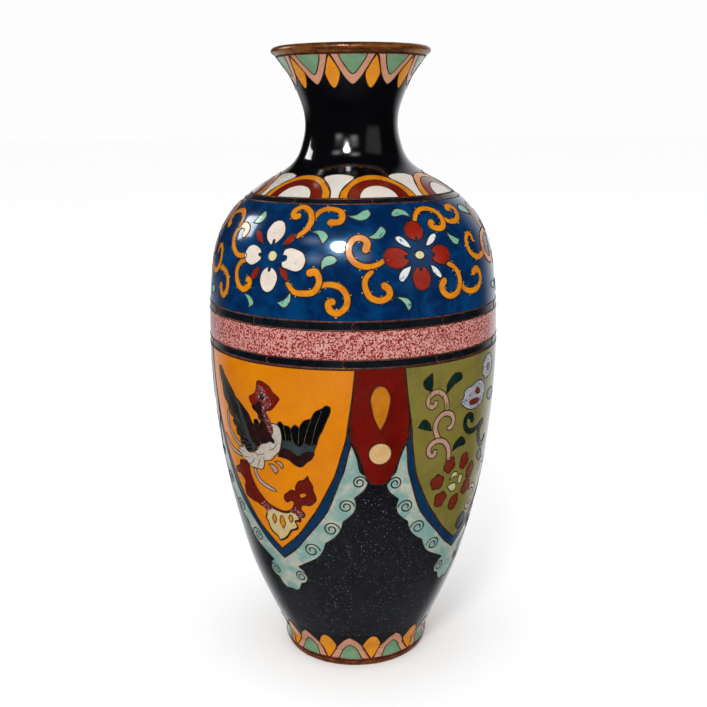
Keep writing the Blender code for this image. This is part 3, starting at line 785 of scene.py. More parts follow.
def build_flowers(repeats, scrolls, leaves, petals, petal_ink, slips, slip_ink, heart, across, along):
    for turn, arms_out, leaves_out in repeats:
        for key, points in scrolls.items():
            if key not in arms_out:
                scroll_arm(key, points, turn)
        for number, points in enumerate(leaves):
            if number not in leaves_out:
                fill("leaves", "scroll_wires", points, turn)
        for points in petals:
            outlined(petal_ink, "scroll_wires", notched(points, turn), PETAL_CELL)
        for points in slips:
            fill(slip_ink, "scroll_wires", points, turn, PETAL_CELL)
        outlined("flower_dots", "scroll_wires", moved(disc(heart, along, stretch=across / along), turn))


def build_scroll_band():
    build_flowers(WHITE_TURNS, WHITE_SCROLLS, WHITE_LEAVES, WHITE_FLOWER, "white_petals",
                  RED_SLIPS, "red_petals", (-31.8, 132.2), 1.46, 1.46)
    build_flowers(RED_TURNS, RED_SCROLLS, RED_LEAVES, RED_FLOWER, "red_petals",
                  WHITE_SLIPS, "white_slips", (26.06, 132.4), 1.45, 1.2)
    for key, points in SIDE_SCROLLS.items():
        scroll_arm(key, points, 0.0)
    for points in SIDE_LEAVES:
        fill("leaves", "scroll_wires", points)


# Shields: right-hand edges from the shield's centre line, from the top down.
FIELD_EDGE = [
    (36.1, 102.75, 1), (35.0, 95.0), (33.6, 88.3), (32.4, 82.6), (30.4, 77.6), (28.2, 72.4), (25.0, 67.5),
    (21.0, 62.1), (17.3, 58.1), (10.2, 51.5), (0.0, 45.3, 1),
]
STRIPE_EDGE = [
    (33.9, 87.6, 1), (34.5, 84.2), (33.8, 80.9), (32.6, 77.2), (31.4, 73.6), (29.7, 70.5), (25.0, 61.9),
    (21.0, 57.4), (12.2, 49.8), (7.5, 46.2), (0.0, 42.1, 1),
]
SCROLL_EDGE = [
    (34.6, 81.4, 1), (35.6, 79.4), (36.6, 77.0), (37.6, 73.4), (39.5, 72.2), (40.6, 70.2), (39.4, 68.0),
    (37.4, 66.6), (35.4, 65.4, 1), (36.0, 63.4), (35.4, 61.2), (33.5, 59.4), (30.6, 57.6, 1), (30.1, 55.9),
    (28.5, 53.6), (25.9, 51.6), (22.6, 50.0, 1), (21.8, 48.2), (19.6, 45.5), (16.0, 43.5), (11.2, 41.6),
    (7.4, 40.0, 1), (10.2, 38.6), (11.4, 36.4), (10.2, 34.6), (7.2, 33.7, 1), (5.8, 31.8), (3.6, 30.4),
    (0.0, 30.6),
]
# Volutes of the scroll border: angle from the shield's centre line, run, radius in mm.
VOLUTES = [(37.3, 70.2, 2.1), (32.0, 62.6, 2.35), (25.5, 54.9, 2.5), (15.8, 46.9, 2.6), (7.9, 36.5, 2.1)]
LAPPET_EDGE = [
    (8.75, 102.75, 1), (9.6, 97.0), (10.4, 92.0), (11.1, 87.0), (11.3, 83.2), (9.8, 81.3), (7.9, 78.2),
    (6.4, 74.6), (4.8, 71.6), (3.0, 69.8), (0.0, 69.3),
]
TEARDROP_EDGE = [
    (0.0, 98.05), (2.2, 97.2), (3.6, 94.6), (3.1, 91.6), (2.0, 88.4), (0.0, 85.5, 1),
]
SHIELD_CENTRE = -35.5
LAPPET_CENTRE = 9.5
LAPPET_DISC, LAPPET_DISC_RADIUS = (0.1, 78.6), 3.14
# The olive shields swell further than the yellow ones between these runs.
SWELL_LOW, SWELL_TOP = 36.0, 84.0
FIELD_SWELL = 0.1  # share by which the fields and stripes are wider
BORDER_SWELL = 0.045  # and the scroll borders
SWELL_DROP = 1.3  # how much lower their edges hang


def fuller(places, wider):
    """An olive shield's edge from a yellow one's."""
    places = np.array(places, dtype=float)
    run = places[:, 1]
    height = (run - SWELL_LOW) / (SWELL_TOP - SWELL_LOW)
    swell = np.clip(np.sin(math.pi * height), 0.0, 1.0) * ((run > SWELL_LOW) & (run < SWELL_TOP))
    return np.stack([places[:, 0] * (1 + wider * swell), run - SWELL_DROP * swell], axis=1)


def build_shield(index):
    turn = SHIELD_CENTRE + 90.0 * index
    number = index + 1
    wires, rims = PIECES[f"shield_wires_{number}"], PIECES[f"shield_rims_{number}"]

    def place(places, wider=FIELD_SWELL):
        return moved(fuller(places, wider) if index % 2 else places, turn)

    def edge(points):
        return path(mirrored(points), closed=False, spacing=SHIELD_SPACING)

    field = place(path(mirrored(FIELD_EDGE), spacing=SHIELD_SPACING))
    cell(PIECES[f"field_{number}"], field, CELL, FIELD_GRID)
    wire(rims, field, RIM_WIDTH)
    inner = edge(STRIPE_EDGE[:1] + FIELD_EDGE[3:])
    stripe = edge(STRIPE_EDGE)
    cell(PIECES[f"stripe_{number}"], place(np.concatenate([stripe, inner[::-1]])))
    wire(rims, place(stripe), RIM_WIDTH, closed=False)
    inner = edge(SCROLL_EDGE[:1] + STRIPE_EDGE[3:])
    scroll = place(edge(SCROLL_EDGE), BORDER_SWELL)
    cell(PIECES[f"scroll_border_{number}_fine"], np.concatenate([scroll, place(inner)[::-1]]))
    wire(wires, scroll, closed=False)
    for angle, run, radius in VOLUTES:
        for side, start in ((1, 5.0), (-1, 175.0)):
            curl = spiral((side * angle, run), radius, start, turns=1.6, hand=side, end_radius=0.55)
            wire(wires, place(curl, BORDER_SWELL), SPIRAL_WIDTH, closed=False, foot=CELL)


def build_lappet(index):
    turn = LAPPET_CENTRE + 90.0 * index
    for ink, outline, lift, width in (
        ("lappets", path(mirrored(LAPPET_EDGE)), CELL_ON_CELL, LAPPET_WIRE_WIDTH),
        ("lappet_drops", path(mirrored(TEARDROP_EDGE)), TOP_CELL, WIRE_WIDTH),
        ("lappet_spots", disc(LAPPET_DISC, LAPPET_DISC_RADIUS, 40), TOP_CELL, WIRE_WIDTH),
    ):
        outlined(ink, "lappet_wires", moved(outline, turn), lift, width, foot=WIRE_FOOT)


# Phoenix: outlines as (angle, run) on the first shield.
BLACK_WING = [
    (-63.0, 98.5, 1), (-61.1, 98.5), (-58.9, 96.7), (-55.9, 94.8), (-52.8, 92.7), (-50.8, 90.9, 1),
    (-50.1, 87.3), (-49.1, 84.8), (-47.8, 82.5), (-46.7, 80.3), (-45.1, 78.5), (-43.7, 77.7, 1),
    (-43.9, 76.1, 1), (-46.4, 75.4), (-47.6, 76.2, 1), (-47.8, 77.0), (-50.1, 77.2), (-50.8, 78.2, 1),
    (-50.5, 79.2), (-52.5, 79.7), (-53.0, 80.8, 1), (-52.1, 81.8), (-53.8, 82.3), (-54.9, 83.3, 1),
    (-53.8, 84.2), (-55.9, 85.1), (-57.2, 86.6, 1), (-57.6, 88.1), (-59.6, 88.9), (-60.8, 90.4, 1),
    (-61.1, 92.7), (-62.3, 94.9), (-63.3, 97.7),
]
GREY_WING = [
    (-50.8, 90.9, 1), (-48.9, 90.3, 1), (-47.8, 88.1), (-46.7, 85.8), (-45.4, 83.8), (-44.4, 81.3),
    (-43.0, 79.0), (-40.3, 78.0, 1), (-41.7, 76.7, 1), (-43.9, 76.1, 1), (-43.7, 77.7, 1), (-45.1, 78.5),
    (-46.7, 80.3), (-47.8, 82.5), (-49.1, 84.8), (-50.1, 87.3),
]
MAROON_WING = [
    (-48.9, 90.3, 1), (-45.7, 88.5), (-43.7, 87.3), (-42.4, 85.4), (-41.8, 84.6, 1), (-40.9, 82.6),
    (-39.6, 80.8), (-38.4, 79.0), (-40.3, 78.0, 1), (-43.0, 79.0), (-44.4, 81.3), (-45.4, 83.8),
    (-46.7, 85.8), (-47.8, 88.1),
]
MAROON_BREAST = [
    (-38.3, 88.1, 1), (-36.9, 86.6), (-38.0, 85.1), (-39.3, 84.3), (-41.8, 84.6, 1), (-40.9, 82.6),
    (-39.6, 80.8), (-38.4, 79.0, 1), (-35.6, 79.7), (-33.6, 80.5), (-31.9, 80.0, 1), (-31.5, 80.8),
    (-33.2, 82.3, 1), (-31.9, 83.3), (-32.6, 84.8, 1), (-34.2, 85.6), (-35.6, 86.8), (-35.9, 88.1, 1),
]
WHITE_BODY = [
    (-34.6, 86.3, 1), (-32.6, 86.0), (-29.9, 85.8), (-28.5, 84.8), (-28.0, 82.5), (-28.5, 80.3),
    (-29.5, 78.0), (-31.5, 76.5), (-33.6, 74.9), (-35.9, 74.2), (-37.6, 73.9), (-37.5, 73.2), (-38.6, 71.4),
    (-40.3, 70.8, 1), (-41.7, 70.9), (-44.2, 70.6), (-46.4, 71.1, 1), (-48.4, 72.2), (-50.5, 72.4, 1),
    (-52.8, 74.4), (-53.2, 74.9), (-51.1, 76.2), (-48.4, 76.5), (-47.4, 75.7, 1), (-45.4, 75.3),
    (-42.7, 75.9), (-40.3, 77.1, 1), (-38.4, 79.0), (-35.6, 79.6), (-33.6, 80.4), (-31.8, 80.0),
    (-31.5, 80.9, 1), (-33.2, 82.3), (-31.9, 83.4), (-32.7, 84.9),
]
FACE = [
    (-38.6, 95.2), (-37.2, 96.4), (-35.2, 96.0), (-33.6, 94.4), (-32.2, 92.6), (-31.9, 91.2), (-33.3, 90.3),
    (-33.9, 89.6), (-33.6, 88.0), (-32.2, 86.2), (-31.6, 84.0), (-32.6, 81.6, 1), (-34.4, 84.6),
    (-35.6, 86.6), (-36.2, 88.4), (-36.2, 89.6), (-36.6, 91.0), (-37.6, 92.0), (-38.8, 92.6), (-39.0, 93.8),
]
CLOUD_BLUSHES = [
    [(-43.4, 59.0), (-41.2, 60.9), (-38.6, 60.0), (-36.4, 59.3), (-37.9, 58.2), (-40.0, 57.6),
     (-41.8, 58.9)],
    [(-28.0, 59.2), (-26.0, 60.3), (-24.6, 61.0), (-22.8, 60.0), (-21.4, 58.8), (-23.8, 57.5),
     (-25.2, 58.6)],
]
NAPE = [
    (-41.3, 90.1, 1), (-40.7, 89.1), (-39.0, 88.3), (-38.3, 87.6), (-38.0, 86.4), (-35.0, 86.4, 1),
    (-34.9, 88.2), (-34.6, 90.0), (-36.0, 91.2), (-38.0, 91.3), (-40.3, 90.7),
]
COMB = [
    (-37.1, 97.7), (-34.9, 97.5), (-32.2, 96.5), (-30.9, 95.2), (-28.8, 94.1), (-28.0, 93.4, 1),
    (-29.2, 92.2), (-30.9, 90.6), (-32.9, 89.6), (-34.6, 89.9), (-35.3, 91.5, 1), (-38.0, 91.6),
    (-39.0, 90.6), (-41.0, 90.5), (-42.0, 91.1), (-42.5, 92.5), (-40.7, 93.2, 1), (-39.0, 94.2),
    (-38.3, 95.9), (-38.0, 97.2),
]
RIGHT_BLACK = [
    (-29.5, 86.3, 1), (-28.1, 86.9), (-26.9, 85.9, 1), (-24.7, 85.8), (-23.9, 84.8, 1), (-23.4, 85.6),
    (-22.0, 86.5), (-20.5, 85.6, 1), (-19.7, 86.8), (-18.3, 88.0), (-15.6, 88.7, 1), (-14.9, 89.9),
    (-13.8, 90.9), (-11.6, 91.8), (-9.9, 92.7), (-8.5, 92.2, 1), (-8.7, 90.6), (-10.2, 88.1), (-11.6, 85.6),
    (-12.9, 83.8), (-13.9, 81.5, 1), (-14.4, 81.3), (-17.3, 80.8), (-19.0, 81.3), (-20.4, 80.4),
    (-21.7, 80.4), (-24.1, 81.6), (-27.8, 81.5, 1), (-28.2, 84.2),
]
RIGHT_GREY = [
    (-27.8, 81.5, 1), (-24.1, 81.6), (-21.7, 80.4), (-20.4, 80.4), (-19.0, 81.3), (-17.3, 80.8),
    (-14.4, 81.3), (-13.9, 81.5, 1), (-15.3, 79.0, 1), (-17.3, 79.0), (-19.7, 78.2), (-21.4, 77.3),
    (-23.7, 78.2), (-25.4, 78.9), (-28.5, 79.0, 1),
]
RIGHT_MAROON = [
    (-28.5, 79.0, 1), (-25.4, 78.9), (-23.7, 78.2), (-21.4, 77.3), (-19.7, 78.2), (-17.3, 79.0),
    (-15.3, 79.0, 1), (-15.1, 78.5), (-16.3, 76.8), (-18.3, 75.7), (-20.0, 74.4), (-21.7, 74.1),
    (-23.7, 74.7), (-25.8, 75.8), (-28.1, 76.2), (-30.5, 76.3, 1),
]
# Wires across the pale parts, and between the dark feathers.
FEATHER_LINES = [
    [(-52.8, 75.4), (-50.8, 74.9), (-48.6, 74.9)], [(-49.1, 73.3), (-46.1, 73.5)],
    [(-46.7, 71.4), (-44.4, 72.4), (-42.9, 73.8)], [(-42.0, 71.4), (-40.7, 72.7), (-40.0, 73.9)],
    [(-37.6, 75.1), (-37.6, 73.9)], [(-34.2, 93.9), (-31.0, 93.6), (-28.0, 93.7)],
    [(-44.6, 76.2), (-40.6, 75.4), (-37.0, 76.2)], [(-34.4, 77.6), (-32.0, 78.6), (-30.2, 80.4)],
]
WING_LINES = [
    [(-61.0, 97.6), (-56.4, 93.9), (-50.6, 89.2)], [(-61.6, 94.4), (-56.0, 89.0), (-49.6, 83.8)],
    [(-60.8, 90.4), (-56.2, 86.8), (-48.6, 83.2)], [(-57.2, 86.6), (-52.8, 84.2), (-47.8, 82.0)],
    [(-54.9, 83.3), (-50.8, 82.0), (-46.9, 80.6)], [(-53.0, 80.8), (-49.6, 80.2), (-46.0, 79.4)],
    [(-50.8, 78.2), (-48.0, 78.2), (-45.1, 78.0)], [(-47.6, 76.2), (-45.6, 76.8), (-43.9, 77.4)],
    [(-26.9, 85.8), (-26.6, 83.8), (-26.2, 81.8)], [(-23.9, 84.8), (-23.7, 83.0), (-23.5, 81.4)],
    [(-20.5, 85.6), (-20.9, 83.0), (-21.3, 80.6)], [(-15.6, 88.7), (-17.6, 84.8), (-19.0, 81.3)],
    [(-11.6, 91.2), (-14.2, 86.2), (-15.9, 81.2)],
]
TAIL_PLUMES = [
    [(-50.5, 76.3), (-53.2, 77.1), (-55.5, 78.2), (-57.6, 79.7), (-58.7, 81.5), (-58.7, 83.8),
     (-57.9, 85.8), (-57.2, 86.3)],
    [(-51.1, 73.4), (-53.8, 73.4), (-57.2, 73.8), (-59.9, 74.7), (-61.9, 76.5), (-63.3, 77.5)],
    [(-43.5, 70.5), (-43.2, 69.1), (-41.7, 67.3), (-39.3, 66.3), (-36.3, 65.6), (-33.7, 65.2)],
]
PINK_DROPS = [
    [(-32.4, 74.4, 1), (-30.2, 74.8), (-28.5, 73.9), (-29.2, 72.7), (-30.4, 73.7)],
    [(-35.4, 73.3, 1), (-32.9, 73.4), (-31.0, 71.9), (-32.6, 70.5, 1), (-33.6, 71.6)],
]
CLOUD = [
    (-18.3, 71.5), (-17.9, 70.3), (-16.6, 68.7), (-16.5, 67.3), (-15.7, 65.6), (-15.5, 64.2), (-16.8, 63.0),
    (-18.4, 62.2), (-21.3, 62.1), (-22.4, 61.2), (-22.1, 60.3), (-20.8, 59.0), (-21.6, 58.1), (-23.5, 57.6),
    (-23.0, 57.2), (-23.5, 56.3), (-25.6, 56.1), (-24.8, 54.3), (-25.8, 53.4), (-28.3, 52.6), (-29.9, 51.1),
    (-31.8, 49.6), (-35.7, 48.2), (-36.6, 49.4), (-39.5, 50.6), (-40.6, 52.0), (-41.1, 53.9), (-42.1, 54.8),
    (-40.8, 56.5), (-40.5, 57.6), (-42.1, 58.7), (-43.8, 58.6), (-45.3, 59.3), (-47.5, 59.3), (-52.6, 60.1),
    (-53.1, 61.4), (-52.8, 63.3), (-51.7, 64.7), (-52.3, 65.6), (-54.2, 66.8), (-57.8, 66.9), (-57.8, 68.2),
    (-54.2, 69.6), (-53.6, 70.8), (-52.0, 71.7), (-47.2, 71.7), (-46.9, 70.3), (-46.9, 68.7), (-45.6, 66.1),
    (-43.4, 63.5), (-40.8, 61.6), (-38.2, 60.2), (-34.7, 59.4), (-31.5, 59.0), (-28.6, 59.3), (-26.4, 60.4),
    (-25.3, 61.9), (-25.4, 62.8), (-26.7, 63.0), (-28.6, 62.2), (-29.6, 63.0), (-29.3, 64.4), (-27.4, 65.5),
    (-26.1, 66.4), (-24.0, 66.4), (-23.8, 67.7), (-22.2, 69.5), (-20.0, 70.1),
]
CLOUD_FOOT = [
    (-40.5, 58.4, 1), (-37.9, 59.0), (-34.7, 58.7), (-31.5, 58.4), (-28.6, 58.7), (-26.0, 59.6),
    (-24.2, 58.6, 1), (-23.9, 57.0), (-25.9, 56.4), (-25.2, 54.4), (-26.2, 53.7), (-28.5, 52.9),
    (-30.1, 51.4), (-32.0, 49.9), (-35.6, 48.5), (-36.4, 49.7), (-39.2, 50.9), (-40.2, 52.2), (-40.7, 54.0),
    (-41.6, 54.9), (-40.4, 56.6),
]
SEEDS = [
    [(-36.3, 57.2), (-35.5, 55.6), (-37.0, 53.8, 1), (-37.7, 55.4)],
    [(-32.3, 57.3), (-31.0, 55.0), (-32.5, 52.8, 1), (-33.7, 55.0)],
    [(-27.7, 58.2), (-26.7, 57.0), (-27.8, 55.5, 1), (-28.8, 56.8)],
    [(-22.4, 65.4), (-20.2, 66.1), (-19.3, 65.4), (-21.6, 64.3)],
]


def build_phoenix(turn):
    wires = "bird_wires"
    fill("bird_clouds", wires, CLOUD, turn, CELL_ON_CELL)
    fill("bird_cream", wires, CLOUD_FOOT, turn, TOP_CELL)
    for points in CLOUD_BLUSHES:
        fill("bird_face", None, points, turn, TOP_CELL + 0.01)
    for points in SEEDS:
        fill("bird_seeds", wires, points, turn, CREST_CELL)
    for points in TAIL_PLUMES:
        ribbon("bird_plumes", wires, points, turn, 0.6, 0.35, 0.5, CELL_ON_CELL)
    for points in PINK_DROPS:
        fill("bird_pink", wires, points, turn, CELL_ON_CELL)
    # Neighbours share an outline, so each cell and its wire differ a hair from the next one's.
    for number, (ink, points) in enumerate((
        ("bird_slate", BLACK_WING), ("bird_grey", GREY_WING), ("bird_maroon", MAROON_WING),
        ("bird_maroon", MAROON_BREAST), ("bird_white", WHITE_BODY), ("bird_maroon", NAPE),
        ("bird_black", RIGHT_BLACK), ("bird_grey", RIGHT_GREY), ("bird_maroon", RIGHT_MAROON),
        ("bird_red", COMB),
    )):
        outlined(ink, wires, shape(points, turn), TOP_CELL + 0.001 * number, WIRE_WIDTH - 0.004 * number)
    fill("bird_face", None, FACE, turn, CREST_CELL)
    fill_disc("bird_black", wires, (-39.7, 85.3), 0.95, turn, CREST_CELL)
    fill_disc("bird_black", None, (-35.8, 93.2), 0.8, turn, CREST_CELL + 0.01)
    fill_disc("bird_grey", None, (-35.6, 93.3), 0.45, turn, CREST_CELL + 0.02)
    wire(PIECES[wires], moved(spiral((-33.4, 91.1), 0.95, 200.0, 1.2, 1, 0.2), turn), 0.2, closed=False)
    for points in FEATHER_LINES:
        wire(PIECES[wires], line(points, turn), 0.28, closed=False)
    for points in WING_LINES:
        wire(PIECES["wing_wires"], line(points, turn), 0.14, closed=False)


def fill_disc(ink, wires, centre, radius, turn, lift):
    outlined(ink, wires, moved(disc(centre, radius, 24), turn), lift, SPOT_WIRE_WIDTH)


# Flower spray of the olive shields, as (angle, run) on the second shield.
DARK_LEAVES = [
    [(29.5, 100.2, 1), (26.1, 98.4), (26.4, 96.4), (29.3, 95.0, 1), (29.8, 97.4)],
    [(44.0, 97.0), (43.2, 98.6), (39.9, 98.8), (36.6, 96.4), (36.2, 93.6, 1), (39.6, 95.6)],
    [(24.1, 85.2, 1), (26.4, 87.2), (28.8, 86.0), (30.1, 83.6, 1), (27.4, 84.2)],
    [(41.3, 75.8, 1), (42.3, 77.9), (45.7, 79.3), (48.4, 78.1), (48.9, 76.6), (45.0, 76.5)],
    [(64.1, 72.2, 1), (66.8, 70.2), (66.4, 68.3), (63.6, 68.4), (61.3, 70.2), (61.8, 71.5)],
    [(70.2, 90.0), (73.8, 88.6), (73.2, 86.8), (69.4, 86.2), (65.2, 87.8), (65.6, 89.6)],
    [(58.6, 52.5, 1), (60.8, 50.8), (60.3, 48.9), (58.3, 47.3), (55.3, 47.4), (53.2, 49.3), (53.8, 51.3),
     (56.0, 52.4)],
]
SPRAY_STEMS = [
    [(31.4, 91.6), (30.8, 90.7), (29.2, 90.6), (28.0, 91.8), (28.4, 93.4), (30.5, 94.6), (33.2, 94.4),
     (35.7, 92.6), (36.6, 90.2), (36.4, 87.8)],
    [(38.2, 83.3), (39.2, 83.4), (40.3, 84.4), (40.4, 85.8), (39.2, 87.2), (36.8, 87.9), (34.3, 87.6),
     (32.4, 86.3), (31.6, 84.5), (32.3, 82.4), (33.9, 80.2)],
    [(32.3, 77.0), (32.0, 76.2), (30.6, 76.0), (29.3, 77.2), (29.5, 78.7), (30.9, 79.8), (33.2, 80.2),
     (35.9, 79.7), (38.0, 78.2), (39.3, 76.3), (39.6, 74.0)],
    [(59.5, 60.6), (61.4, 60.7), (64.7, 59.6), (66.9, 57.8), (66.0, 56.5), (63.0, 56.0), (60.4, 55.8),
     (59.3, 54.8), (61.0, 53.6), (63.6, 53.2), (64.2, 54.2)],
    [(73.6, 66.0), (70.6, 67.2), (67.6, 67.1), (66.0, 66.2), (67.4, 64.9)],
]
# Lift of each stem's cell and of its wire's crest: the first three run over one another, the rest lie alone.
STEM_LAYERS = [(CELL, 0.065), (0.078, 0.092), (PETAL_CELL, WIRE_CREST), (CELL, 0.065), (CELL, 0.065)]
DARK_CURLS = [
    [(52.6, 83.4), (51.6, 84.6), (49.6, 85.1), (48.0, 84.4), (47.7, 82.7), (49.2, 80.9), (51.8, 79.9),
     (55.2, 79.8), (57.8, 80.2), (60.0, 81.4)],
    [(61.9, 81.0), (59.9, 79.6), (59.4, 77.6), (60.9, 75.4), (63.6, 73.6), (66.2, 73.8), (68.0, 75.4)],
]
RED_PETALS = [
    (40.8, 71.55), (50.1, 71.05), (55.9, 67.0), (54.5, 61.9), (46.7, 58.5), (37.8, 61.2), (35.0, 67.1),
]
FLOWER_CENTRE = (45.7, 65.5)
PALE_LEAVES = [
    [(41.6, 66.6, 1), (43.4, 68.6), (46.0, 68.4), (46.6, 67.0, 1), (44.0, 67.2)],
    [(40.9, 64.6, 1), (43.0, 65.2), (46.0, 64.8), (46.4, 62.9), (43.8, 62.6)],
    [(48.2, 67.4, 1), (50.0, 66.4), (49.8, 64.6), (48.0, 64.2), (47.4, 65.8)],
]
BLOSSOM = [
    (52.1, 94.2), (55.8, 94.7), (59.7, 93.6), (61.8, 91.3), (60.8, 89.3), (59.4, 87.6), (54.6, 86.5),
    (49.6, 87.0), (45.6, 88.6), (44.2, 90.2), (45.9, 91.4), (45.8, 92.8), (48.0, 93.6), (50.2, 93.6),
]
BLOSSOM_HEARTS = [
    [(49.3, 89.2), (52.0, 89.7), (55.8, 89.3), (57.0, 88.5), (53.9, 87.9), (50.6, 88.2)],
    [(52.9, 91.9), (54.7, 92.7), (56.9, 91.6), (56.5, 90.7), (54.3, 90.8)],
]


def build_spray(turn):
    wires = "spray_wires"
    for points in DARK_LEAVES:
        fill("spray_leaves", wires, points, turn, CELL_ON_CELL)
    for points, (lift, crest) in zip(SPRAY_STEMS, STEM_LAYERS):
        ribbon("spray_stems", wires, points, turn, 0.78, 0.86, 0.7, lift, crest)
    for points in DARK_CURLS:
        ribbon("spray_leaves", wires, points, turn, 0.75, 0.3, 0.95, CELL_ON_CELL)
    for number, centre in enumerate(RED_PETALS):
        outline = blob(lobed(centre, 2.35, 5, 0.09, 0.9, toward=FLOWER_CENTRE), 0.45, number)
        outlined("spray_reds", wires, moved(outline, turn), CELL_ON_CELL, foot=WIRE_FOOT)
    for points in PALE_LEAVES:
        fill("spray_pale", wires, points, turn, CELL_ON_CELL)
    far = moved(blob(lobed((63.6, 97.6), 3.5, 8, 0.09, 1.1), 0.3, 8), turn)
    for outline in (shape(BLOSSOM, turn), far):
        outlined("spray_blossoms", wires, outline, CELL_ON_CELL, foot=WIRE_FOOT)
    heart = moved(blob(lobed((64.2, 97.2), 1.05, 3, 0.14, 1.2), 0.1, 64), turn)
    for outline in [shape(points, turn) for points in BLOSSOM_HEARTS] + [heart]:
        outlined("spray_reds", wires, outline, TOP_CELL, HEART_WIRE_WIDTH, foot=WIRE_FOOT)


def lobed(centre, radius, lobes, depth, stretch, toward=None):
    """A round cell with a wavy edge; toward makes one notch point at that place."""
    start = 0.0
    if toward is not None:
        aim = local([toward], centre)[0]
        start = math.atan2(aim[1], aim[0])
    turns = np.linspace(0.0, 2 * math.pi, 64, endpoint=False)
    reach = radius * (1 - depth + 2 * depth * np.abs(np.sin(lobes * (turns - start) / 2)) ** 0.8)
    x, y = reach * stretch * np.cos(turns), reach * np.sin(turns)
    return from_local(np.stack([x, y], axis=1), centre)


# Collars and scallops. Half outlines run from the top down to the centre line.
def build_neck_collar():
    lobes = 10
    pitch = 360.0 / lobes
    for k in range(lobes):
        centre = 1.5 + pitch * k
        outer = [(-17.6, 198.0, 1), (-15.8, 196.6), (-12.9, 193.9), (-8.6, 191.0), (-4.4, 189.3),
                 (0.0, 188.4)]
        inner = [(-10.8, 198.0, 1), (-9.4, 196.0), (-6.0, 193.7), (-3.0, 192.1), (0.0, 191.4)]
        outer = moved(blob(path(mirrored(outer)), 0.12, k), centre)
        inner = moved(blob(path(mirrored(inner)), 0.1, k + 20), centre)
        outlined("collar_pinks", "collar_wires", outer, grid=SMALL_GRID)
        outlined("collar_greens", "collar_wires", inner, CELL_ON_CELL, grid=SMALL_GRID)
        drop = [(0.0, 197.6, 1), (2.2, 196.0), (5.6, 193.2), (7.2, 191.8), (6.2, 190.1), (3.4, 188.2),
                (0.0, 187.4)]
        drop = moved(blob(path(mirrored(drop)), 0.12, k + 40), centre + pitch / 2)
        outlined("collar_yellows", "collar_wires", drop, CELL_ON_CELL, grid=SMALL_GRID)


def build_foot_collar():
    arches = 11
    pitch = 360.0 / arches
    for k in range(arches):
        centre = -4.5 + pitch * k + 1.7 * math.sin(math.radians(pitch * k))
        outer = [(0.0, 11.8, 1), (5.2, 9.9), (10.4, 6.5), (16.4, 2.3, 1), (8.0, 2.1)]
        inner = [(0.0, 8.2, 1), (4.9, 6.1), (9.4, 2.4, 1), (4.0, 2.2)]
        for ink, half, lift in (("collar_pinks", outer, CELL), ("collar_greens", inner, CELL_ON_CELL)):
            outline = path(half + [(0.0, FOOT_TOP)] + [(-p[0], *p[1:]) for p in reversed(half[1:])])
            outlined(ink, "collar_wires", moved(blob(outline, 0.06, k), centre), lift, grid=SMALL_GRID)
        drop = [(0.0, 12.1), (2.7, 11.5), (5.2, 9.7), (6.9, 7.6), (5.5, 5.5), (2.9, 3.8), (0.0, 2.4, 1)]
        drop = moved(blob(path(mirrored(drop)), 0.08, k + 60), centre + pitch / 2)
        outlined("collar_yellows", "collar_wires", drop, CELL_ON_CELL, grid=SMALL_GRID)


SCALLOP_CENTRES = (-83.0, -33.3, 14.5, 63.0, 116.5, 170.0, 223.5)


def half_disc(half_width, top):
    """A half oval, a little squarer than an ellipse, standing on the band's lower edge."""
    low, share = 150.75, 2 / 2.1
    places = []
    for turn in np.linspace(0.0, math.pi, 25):
        x, y = math.cos(turn), math.sin(turn)
        places.append((math.copysign(half_width * abs(x) ** share, x), low + (top - low) * y ** share))
    places[0] = (*places[0], 1)
    places[-1] = (*places[-1], 1)
    return path(places)


def build_scallops():
    count = len(SCALLOP_CENTRES)
    for k, centre in enumerate(SCALLOP_CENTRES):
        after = SCALLOP_CENTRES[(k + 1) % count] + (360.0 if k == count - 1 else 0.0)
        middle, half = (centre + after) / 2, (after - centre) / 2
        width = half - 12.9
        between = [(-2.6, 150.8, 1), (-3.6, 154.0), (-width * 0.72 - 1, 158.2), (-width, 160.3),
                   (-width * 0.6, 161.35), (0.0, 161.7)]
        between += [(-p[0], *p[1:]) for p in reversed(between[:-1])]
        outlined("scallop_whites", "scallop_wires", moved(path(between), middle))
        for ink, half_width, top, lift in (
            ("scallop_oranges", 21.5, 161.2, CELL_ON_CELL), ("scallop_reds", 16.8, 158.9, TOP_CELL),
            ("scallop_whites", 10.5, 156.0, CREST_CELL),
        ):
            outlined(ink, "scallop_wires", moved(blob(half_disc(half_width, top), 0.1, k), centre), lift)


BORDERS = {  # run of the lower and the upper wire, then the joints of the cells
    "lower": (FIELD_TOP, SPECKLED_LOW, (-31.0, -2.0, 33.0, 70.0, 106.0, 143.0, 180.0, 217.0, 254.0, 291.0)),
    "middle": (SPECKLED_TOP, SCROLLS_LOW, (-37.0, 1.5, 36.0, 74.0, 111.0, 148.0, 185.0, 222.0, 259.0, 292.0)),
    "upper": (SCROLLS_TOP, SCALLOPS_LOW, (-32.0, 12.0, 52.0, 92.0, 130.0, 168.0, 206.0, 244.0, 286.0)),
}


def build_borders():
    for low, high, joints in BORDERS.values():
        for seed, run in enumerate((low + RING_INSET, high - RING_INSET)):
            wire(PIECES["border_wires"], ring(run, 0.05, seed + len(joints)), RING_WIRE_WIDTH)
        for joint in joints:
            side = CHOICE.choice((-1, 1))
            arc = [(joint, low + 0.2), (joint + side * 1.5, low + 0.55),
                   (joint + side * 2.0, (low + high) / 2), (joint + side * 1.5, high - 0.55),
                   (joint, high - 0.2)]
            arc = path(arc, closed=False, spacing=0.25)
            wire(PIECES["border_wires"], arc, JOINT_WIRE_WIDTH, closed=False)
    wire(PIECES["rim_seams"], ring(FOOT_TOP + 0.25, 0.16, 41), 0.7)
    wire(PIECES["rim_seams"], ring(LIP_LOW - 0.4, 0.1, 42), 0.5)


